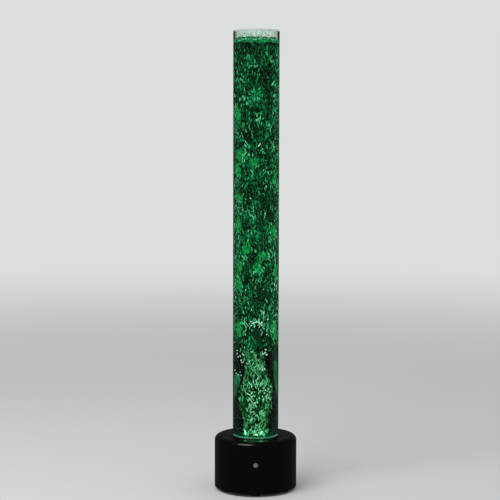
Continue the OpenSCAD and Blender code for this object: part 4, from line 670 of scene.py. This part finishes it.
# Painted light: teal patches on the wall and arcs round its foot, glowing by emission.
patches = []
for kind, right, down, wide, tall in WALL_PATCHES:
    angle, z = on_the_front(right, down)
    patches.append((kind, angle, PATCH_R, z, 0, (PATCH_DEEP, wide, tall)))
rings = [(GRAIN, turn * 2 * math.pi / RING_ARCS, WALL_R, z, 0, RING_ARC)
         for z in RING_HEIGHTS for turn in range(RING_ARCS)]
in_water(strewn("wall_patches", patches), wall_light)
in_water(strewn("rings_of_light_in_the_wall", rings), wall_light)
in_water(strewn("light_sheets", sheets), sheet_light)
in_water(strewn("dark_hollows", hollows), painted_hollow_shade)
in_water(strewn("bright_lips", lips), white_light)
in_water(strewn("sparkles", sparks), white_light)

# ---- Froth at the surface -------------------------------------------------------------------
# The air breaks the surface in a layer of froth a couple of centimetres deep, heaped against
# the wall. It is the last thing that the light meets, so it is the evenest and brightest band,
# painted as light by an emission on the froth, with painted glints over it.
# Bursting bubbles spatter the dry wall over it with drops, which glow with painted green light.

FROTH, FROTH_AT_WALL = 900, 560       # bubbles of froth, and how many of them lie along the wall
FROTH_R, FROTH_WALL_LAYER = 0.084, (0.086, 0.0935)
FROTH_Z, FROTH_WALL_Z, FROTH_HEAP = (1.9500, 1.9560), (1.9440, 1.9570), 0.006
FROTH_SIZE, FROTH_SHAPE = (0.0045, 0.0090), (0.6, 0.42, 1.8)
GLINTS_PX, SURFACE_PX = (239, 242, 245, 271, 274, 275, 252, 262), 40.5
GLINT_R, GLINT_Z = 0.0925, 1.957
GLINT_DEEP, GLINT_WIDE, GLINT_TALL, GLINT_SLANT = 0.003, 0.004, (0.010, 0.018), 1.4
SPATTER, SPATTER_FROM, SPATTER_TO = 260, 1.9600, 1.9900
DROP_DEEP, DROP_WIDE, DROP_TALL = 0.0009, (0.0020, 0.0042), (0.0024, 0.0068)
LID_RING_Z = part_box("tube_lid")[0].z  # underside of the lid's locating ring, which stays dry
LID_GAP = 0.0008

froth_light = bubble_light("painted_light_on_the_froth", "#022f18", "#22bf6e", 1.0, grit=0.007, unevenness=0.9)
froth = []
for i in range(FROTH):
    at_wall = i < FROTH_AT_WALL
    angle = any_way()
    radius = random.uniform(*FROTH_WALL_LAYER) if at_wall else FROTH_R * math.sqrt(random.random()) + 0.002
    heap = FROTH_HEAP * noise.noise(Vector((math.cos(angle) * 2.2, math.sin(angle) * 2.2, 5.0)))
    z = random.uniform(*(FROTH_WALL_Z if at_wall else FROTH_Z)) + heap
    size = random.uniform(*FROTH_SIZE)
    froth.append((GRAIN, angle, max(radius, 0.010), z, random.gauss(LYING, 0.35),
                  tuple(size * part for part in FROTH_SHAPE)))
in_water(strewn("froth", froth), froth_light)
# Painted highlights: bright glints on the froth by the wall.
glints = [(GRAIN, on_the_front(right, SURFACE_PX)[0] + random.gauss(0, 0.05), GLINT_R,
           GLINT_Z + random.uniform(-0.004, 0.007), GLINT_SLANT,
           (GLINT_DEEP, GLINT_WIDE, random.uniform(*GLINT_TALL)))
          for right in GLINTS_PX]
in_water(strewn("froth_glints", glints), bright_light)

spatter = []
for i in range(SPATTER):
    z = SPATTER_FROM + (SPATTER_TO - SPATTER_FROM) * random.random() ** 1.5
    angle, slant = any_way(), random.gauss(0, 0.15)
    wide, tall = random.uniform(*DROP_WIDE), random.uniform(*DROP_TALL)
    z = min(z, LID_RING_Z - LID_GAP - tall)
    spatter.append((GRAIN, angle, WALL_R, z, slant, (DROP_DEEP, wide, tall)))
# Painted light: the drops glow green by emission, for the lamp's light caught in them.
drop_water, tree, out = new_tree("spattered_water_drops")
where = add(tree, "TexCoord").outputs["Object"]
ripple = add(tree, "TexNoise", Vector=where, Scale=420.0, Detail=1.0)
painted_green_glow = add(tree, "ValToRGB", Fac=ripple.outputs["Fac"])
painted_green_glow.color_ramp.elements[0].color = linear("#02301a")
painted_green_glow.color_ramp.elements[1].color = linear("#1f8f5c")
drop = add(tree, "BsdfPrincipled", Base_Color=linear("#7fb89c"), Roughness=0.05, IOR=1.333,
           Emission_Color=painted_green_glow.outputs["Color"], Emission_Strength=0.5)
drop.inputs["Transmission Weight"].default_value = 0.8
tree.links.new(drop.outputs[0], out.inputs["Surface"])
drop_water.cycles.emission_sampling = "NONE"
in_water(strewn("spatter_on_the_wall", spatter), drop_water)

for mould in moulds:
    bpy.data.objects.remove(mould)

# ---- Lid ------------------------------------------------------------------------------------
# A loose disc of the same polished acrylic closes the rim. Its locating ring and its six vents
# show through it as faint bright edges.


def dress(material, *nodes):
    """Gives one material to CAD nodes whose own shape is right."""
    for name in nodes:
        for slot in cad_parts[name].material_slots:
            slot.material = material


dress(cast_acrylic, "tube_lid")

# ---- Tube floor and its fittings ------------------------------------------------------------
# The clear floor is lit from right underneath, so it glows teal round the foot of the plume, with
# faint rings where the light goes round inside it; that glow is painted light, an emission on the
# floor. The jets and the air chamber are natural nylon, a waxy off-white with soft moulded edges,
# on black rubber seals.

RING_STEP = 0.007                     # between the rings of light in the floor
WAVE_PERIOD = 0.314                   # of a wave texture at scale 1, in metres
LIT_PATCH = 1 / 28                    # across a patch of brighter floor

# Painted light: the floor's teal glow and its rings are emission.
lit_acrylic, tree, out = new_tree("acrylic_floor_lit_from_below")
where = add(tree, "TexCoord").outputs["Object"]
circles = add(tree, "TexWave", {"wave_type": "RINGS", "rings_direction": "Z"}, Vector=where,
              Scale=WAVE_PERIOD / RING_STEP, Distortion=2.5, Detail=2.0, Detail_Scale=1.5)
brighter = add(tree, "TexNoise", Vector=where, Scale=1 / LIT_PATCH, Detail=2.0)
mixed = add(tree, "Math", {"operation": "MULTIPLY"}, i0=circles.outputs["Fac"], i1=brighter.outputs["Fac"])
teal = add(tree, "ValToRGB", Fac=mixed.outputs[0])
teal.color_ramp.elements[0].color = linear("#0a4d38")
teal.color_ramp.elements[1].color = linear("#35a67c")
teal.color_ramp.elements[0].position = 0.15
teal.color_ramp.elements[1].position = 0.7
glow = add(tree, "BsdfPrincipled", Base_Color=linear("#8fb8a8"), Roughness=0.08, IOR=1.49,
           Emission_Color=teal.outputs["Color"], Emission_Strength=0.6)
glow.inputs["Transmission Weight"].default_value = 0.8
tree.links.new(glow.outputs[0], out.inputs["Surface"])
lit_acrylic.cycles.emission_sampling = "NONE"
dress(lit_acrylic, "tube_floor")

CLOUDING = 1 / 22                     # across a patch of duller polish on a moulding


def moulding(name, colour, roughness, grain, depth, mottle=0.06, sheen=0.0):
    """Moulded plastic or rubber: a grain so many metres wide and deep, and an uneven polish."""
    material, tree, out = new_tree(name)
    where = add(tree, "TexCoord").outputs["Object"]
    skin = add(tree, "TexNoise", Vector=where, Scale=1 / grain, Detail=3.0, Roughness=0.6)
    cloudy = add(tree, "TexNoise", Vector=where, Scale=1 / CLOUDING, Detail=3.0)
    tint = add(tree, "MapRange", Value=cloudy.outputs["Fac"], From_Min=0.3, From_Max=0.7,
               To_Min=1 - mottle, To_Max=1 + mottle)
    shade = add(tree, "VectorMath", {"operation": "SCALE"}, i0=linear(colour)[:3],
                Scale=tint.outputs["Result"])
    polish = add(tree, "MapRange", Value=cloudy.outputs["Fac"], From_Min=0.3, From_Max=0.7,
                 To_Min=roughness * 0.86, To_Max=roughness * 1.16)
    relief = add(tree, "Bump", Strength=0.5, Distance=depth, Height=skin.outputs["Fac"])
    body = add(tree, "BsdfPrincipled", Base_Color=shade.outputs[0], Roughness=polish.outputs["Result"],
               Normal=relief.outputs["Normal"])
    body.inputs["Sheen Weight"].default_value = sheen
    tree.links.new(body.outputs[0], out.inputs["Surface"])
    return material


natural_nylon = moulding("natural_nylon", "#d8d5c8", 0.42, 0.0012, 0.00006)
seal_rubber = moulding("moulded_black_rubber", "#161616", 0.78, 0.0007, 0.00008, 0.15, 0.1)
dress(natural_nylon, "air_jets", "air_chamber")
dress(seal_rubber, "jet_seals", "chamber_gasket")

# ---- Light board ----------------------------------------------------------------------------
# A white-masked aluminium board with twelve light packages, held on brass standoffs. The yellow
# gel of the packages is lit green, and the mask shows the broad copper tracks under it.

TRACK_STEP = 0.0131                   # from one copper track to the next
GEL_GRAIN = 0.0004                    # of the light-giving powder in the gel
TARNISH = 1 / 45                      # across a patch of duller metal

white_mask, tree, out = new_tree("white_solder_mask")
where = add(tree, "TexCoord").outputs["Object"]
tracks = add(tree, "TexWave", {"wave_type": "RINGS", "rings_direction": "Z"}, Vector=where,
             Scale=WAVE_PERIOD / TRACK_STEP, Distortion=0.4)
under = add(tree, "ValToRGB", Fac=tracks.outputs["Fac"])
under.color_ramp.interpolation = "EASE"
under.color_ramp.elements[0].color = linear("#dcded9")
under.color_ramp.elements[1].color = linear("#f1f1ed")
step = add(tree, "Bump", Strength=0.4, Distance=0.00006, Height=tracks.outputs["Fac"])
mask = add(tree, "BsdfPrincipled", Base_Color=under.outputs["Color"], Roughness=0.34,
           Normal=step.outputs["Normal"])
tree.links.new(mask.outputs[0], out.inputs["Surface"])
dress(white_mask, "led_board")

lit_gel, tree, out = new_tree("phosphor_gel_lit_green")
where = add(tree, "TexCoord").outputs["Object"]
grains = add(tree, "TexNoise", Vector=where, Scale=1 / GEL_GRAIN, Detail=1.0)
gel = add(tree, "ValToRGB", Fac=grains.outputs["Fac"])
gel.color_ramp.elements[0].color = linear("#2fc47a")
gel.color_ramp.elements[1].color = linear("#b9ffd6")
lens = add(tree, "BsdfPrincipled", Base_Color=linear("#e6dfa6"), Roughness=0.2,
           Emission_Color=gel.outputs["Color"], Emission_Strength=3.0)
tree.links.new(lens.outputs[0], out.inputs["Surface"])
lit_gel.cycles.emission_sampling = "NONE"
dress(lit_gel, "led_packages")


def metal(name, colour, roughness, stretch=(1, 1, 1), line=0.0004, depth=0.00002):
    """Bare metal with tool marks: lines so many metres apart, drawn out along the stretched axes."""
    material, tree, out = new_tree(name)
    where = add(tree, "TexCoord").outputs["Object"]
    drawn = add(tree, "Mapping", Vector=where, Scale=stretch)
    marks = add(tree, "TexNoise", Vector=drawn.outputs["Vector"], Scale=1 / line, Detail=4.0, Roughness=0.65)
    cloudy = add(tree, "TexNoise", Vector=where, Scale=1 / TARNISH, Detail=2.0)
    polish = add(tree, "MapRange", Value=cloudy.outputs["Fac"], From_Min=0.3, From_Max=0.7,
                 To_Min=roughness * 0.8, To_Max=roughness * 1.2)
    tint = add(tree, "MapRange", Value=marks.outputs["Fac"], From_Min=0.3, From_Max=0.7,
               To_Min=0.88, To_Max=1.06)
    shade = add(tree, "VectorMath", {"operation": "SCALE"}, i0=linear(colour)[:3],
                Scale=tint.outputs["Result"])
    relief = add(tree, "Bump", Strength=0.4, Distance=depth, Height=marks.outputs["Fac"])
    body = add(tree, "BsdfPrincipled", Base_Color=shade.outputs[0], Metallic=1.0,
               Roughness=polish.outputs["Result"], Normal=relief.outputs["Normal"])
    tree.links.new(body.outputs[0], out.inputs["Surface"])
    return material


turned_brass = metal("turned_brass", "#c9a45c", 0.30, (0.15, 0.15, 1.0))
zinc_plate = metal("bright_zinc_plate", "#b9bdc2", 0.30, (1, 1, 1), 0.0009)
dress(turned_brass, "led_standoffs", "board_standoffs", "power_blades")
dress(zinc_plate, "board_screws", "plate_screws", "casing_screws", "lever_nut", "valve_stem")

# ---- Frame of the base ----------------------------------------------------------------------
# A powder-coated steel plate on rubber feet carries four turned alloy posts and the deck, which
# is cut from black sheet and keeps the fine rings of the cutter.

CUTTER_STEP = 0.0015                  # between the cutter's rings, drawn coarse enough to show
WORN_PATCH = 1 / 30                   # across a paler patch of the sheet

powder_coat = moulding("black_powder_coat", "#1c1c1d", 0.55, 0.0011, 0.00012, 0.08)
turned_alloy = metal("turned_alloy", "#b6b8bb", 0.34, (0.1, 0.1, 1.0), 0.0005)
dress(powder_coat, "base_plate")
dress(turned_alloy, "deck_posts")
dress(seal_rubber, "rubber_feet", "tube_pad", "tube_seal")

deck_sheet, tree, out = new_tree("machined_black_sheet")
where = add(tree, "TexCoord").outputs["Object"]
cutter = add(tree, "TexWave", {"wave_type": "RINGS", "rings_direction": "Z"}, Vector=where,
             Scale=WAVE_PERIOD / CUTTER_STEP, Distortion=0.6, Detail=1.0)
worn = add(tree, "TexNoise", Vector=where, Scale=1 / WORN_PATCH, Detail=3.0)
tone = add(tree, "ValToRGB", Fac=worn.outputs["Fac"])
tone.color_ramp.elements[0].color = linear("#151517")
tone.color_ramp.elements[1].color = linear("#232326")
lines = add(tree, "Bump", Strength=0.3, Distance=0.00005, Height=cutter.outputs["Fac"])
board = add(tree, "BsdfPrincipled", Base_Color=tone.outputs["Color"], Roughness=0.5,
            Normal=lines.outputs["Normal"])
tree.links.new(board.outputs[0], out.inputs["Surface"])
dress(deck_sheet, "tube_deck")

# ---- Casing ---------------------------------------------------------------------------------
# The casing, its collar and the rocker are moulded in high-gloss black. Close to, the gloss has a
# slight orange peel, and it is never quite clean: a film of dust and wiping marks makes it duller
# in patches, most of all where hands and cloths reach.

PEEL, WIPE, SPECK = 1 / 330, 1 / 9, 1 / 420   # 3 mm dimples, 110 mm wipes, dust 2.4 mm apart
WIPED_FLAT = 3.0                      # how much longer the wiping marks are than tall

gloss_black, tree, out = new_tree("gloss_black_moulding")
where = add(tree, "TexCoord").outputs["Object"]
peel = add(tree, "TexNoise", Vector=where, Scale=1 / PEEL, Detail=2.0)
strokes = add(tree, "Mapping", Vector=where, Scale=(1, 1, WIPED_FLAT))
wiped = add(tree, "TexNoise", Vector=strokes.outputs["Vector"], Scale=1 / WIPE, Detail=5.0, Roughness=0.6,
            Distortion=0.8)
dust = add(tree, "TexVoronoi", {"feature": "F1"}, Vector=where, Scale=1 / SPECK)
specks = add(tree, "MapRange", Value=dust.outputs["Distance"], From_Min=0.10, From_Max=0.05)
film = add(tree, "MapRange", Value=wiped.outputs["Fac"], From_Min=0.35, From_Max=0.7,
           To_Min=0.13, To_Max=0.26)
specks = add(tree, "Math", {"operation": "MULTIPLY"}, i0=specks.outputs["Result"], i1=wiped.outputs["Fac"])
dusty = add(tree, "Mix", {"data_type": "RGBA"}, i0=specks.outputs[0], i6=linear("#070606"),
            i7=linear("#1d1b1a"))
orange_peel = add(tree, "Bump", Strength=0.25, Distance=0.00005, Height=peel.outputs["Fac"])
casing = add(tree, "BsdfPrincipled", Base_Color=dusty.outputs[2], Roughness=film.outputs["Result"],
             Normal=orange_peel.outputs["Normal"])
casing.inputs["Specular IOR Level"].default_value = 0.36
tree.links.new(casing.outputs[0], out.inputs["Surface"])
dress(gloss_black, "base_shell", "collar_ring", "power_rocker")

# ---- Push button ----------------------------------------------------------------------------
# The cap is a warm grey moulding with a soft polish, in a black bezel that is screwed into the
# front; the photograph shows it as a faint brown-grey spot.

warm_grey = moulding("warm_grey_moulding", "#7b716a", 0.36, 0.0009, 0.00003)
dress(warm_grey, "button_cap")
dress(gloss_black, "button_bezel")

# ---- Service panel and what hides behind it -------------------------------------------------
# The panel, the inlet and the switch frame have the fine spark-eroded grain of technical
# mouldings, so they look matt beside the casing.

grained_black = moulding("fine_grained_black_moulding", "#1a1a1b", 0.56, 0.0006, 0.00010, 0.05)
dress(grained_black, "service_panel", "power_inlet", "rocker_frame", "button_nut", "button_switch",
      "supply_terminals", "pump_cover", "valve_gland", "board_parts")

bare_alloy = metal("plain_alloy_sheet", "#b2b4b7", 0.38, (1.0, 0.08, 1.0), 0.0006)
dress(bare_alloy, "power_supply")

COPPER_LONG, COPPER_PITCH, COPPER_GAP = 0.0094, 0.0031, 0.0006    # tracks of the control board

green_mask, tree, out = new_tree("green_solder_mask")
where = add(tree, "TexCoord").outputs["Object"]
copper = add(tree, "TexBrick", Vector=where, Scale=1.0, Brick_Width=COPPER_LONG, Row_Height=COPPER_PITCH,
             Mortar_Size=COPPER_GAP, Color1=linear("#1b6a3d"), Color2=linear("#14532f"),
             Mortar=linear("#0e3d23"))
tracks = add(tree, "Bump", Strength=0.4, Distance=0.00005, Height=copper.outputs["Fac"])
mask = add(tree, "BsdfPrincipled", Base_Color=copper.outputs["Color"], Roughness=0.3,
           Normal=tracks.outputs["Normal"])
tree.links.new(mask.outputs[0], out.inputs["Surface"])
dress(green_mask, "control_board")

wire_skin = moulding("black_wire_insulation", "#151515", 0.38, 0.0030, 0.00002)
dress(wire_skin, "mains_wires", "signal_wires")

# ---- Air pump and hoses ---------------------------------------------------------------------
# The pump's case is cast alloy with a sandy skin. Its hoses are clear plastic gone slightly
# milky, held by spring-steel clips.

MILKY_PATCH = 1 / 70                  # across a cloudier patch of a hose

cast_alloy = metal("cast_alloy", "#9da0a3", 0.5, (1, 1, 1), 0.0014, 0.00012)
spring_steel = metal("spring_steel", "#8f9499", 0.28, (1, 1, 0.2), 0.0005)
dress(cast_alloy, "pump_case")
dress(natural_nylon, "pump_head", "check_valve")
dress(seal_rubber, "pump_feet", "drain_gasket")
dress(spring_steel, "hose_clips")

milky_hose, tree, out = new_tree("clear_milky_hose")
where = add(tree, "TexCoord").outputs["Object"]
milk = add(tree, "TexNoise", Vector=where, Scale=1 / MILKY_PATCH, Detail=2.0)
haze = add(tree, "MapRange", Value=milk.outputs["Fac"], From_Min=0.3, From_Max=0.7,
           To_Min=0.12, To_Max=0.26)
soft = add(tree, "BsdfPrincipled", Base_Color=linear("#dfe8e3"), Roughness=haze.outputs["Result"], IOR=1.52)
soft.inputs["Transmission Weight"].default_value = 0.82
tree.links.new(soft.outputs[0], out.inputs["Surface"])
dress(milky_hose, "pump_hose", "riser_hose", "drain_hose")

# ---- Drain ----------------------------------------------------------------------------------
# The fittings, the valve and the spigot are nylon. The ball is polished steel, and the lever is
# zinc-plated with a grip dipped in red plastic, which ends in a soft edge.

GRIP_FROM, GRIP_EDGE = 0.021, 0.0006  # from the stem to where the red dip starts, and how soft that is
EDGE_WANDER, EDGE_STEP = 0.0012, 1 / 260      # how far the dip's edge wanders, and over what length
GRIP_DIMPLE = 0.002

polished_ball = metal("polished_steel", "#c4c7ca", 0.10, (1, 1, 1), 0.0020, 0.000004)
dress(natural_nylon, "drain_fitting", "drain_nut", "valve_body", "valve_cap", "valve_seats", "drain_elbow")
dress(polished_ball, "valve_ball")

dipped_lever, tree, out = new_tree("zinc_lever_dipped_red")
where = add(tree, "TexCoord").outputs["Object"]
along = add(tree, "SeparateXYZ", Vector=where)
edge = add(tree, "TexNoise", Vector=where, Scale=1 / EDGE_STEP)
edge = add(tree, "Math", {"operation": "MULTIPLY_ADD"}, i0=edge.outputs["Fac"], i1=EDGE_WANDER,
           i2=along.outputs["X"])
dipped = add(tree, "MapRange", Value=edge.outputs[0], From_Min=GRIP_FROM, From_Max=GRIP_FROM + GRIP_EDGE)
dimples = add(tree, "TexNoise", Vector=where, Scale=1 / GRIP_DIMPLE, Detail=2.0)
skin = add(tree, "Bump", Strength=0.3, Distance=0.00008, Height=dimples.outputs["Fac"])
zinc = add(tree, "BsdfPrincipled", Base_Color=linear("#b9bdc2"), Metallic=1.0, Roughness=0.32)
dip = add(tree, "BsdfPrincipled", Base_Color=linear("#8f1a14"), Roughness=0.32, Normal=skin.outputs["Normal"])
lever = add(tree, "MixShader", Fac=dipped.outputs["Result"], i1=zinc.outputs[0], i2=dip.outputs[0])
tree.links.new(lever.outputs[0], out.inputs["Surface"])
dress(dipped_lever, "valve_lever")
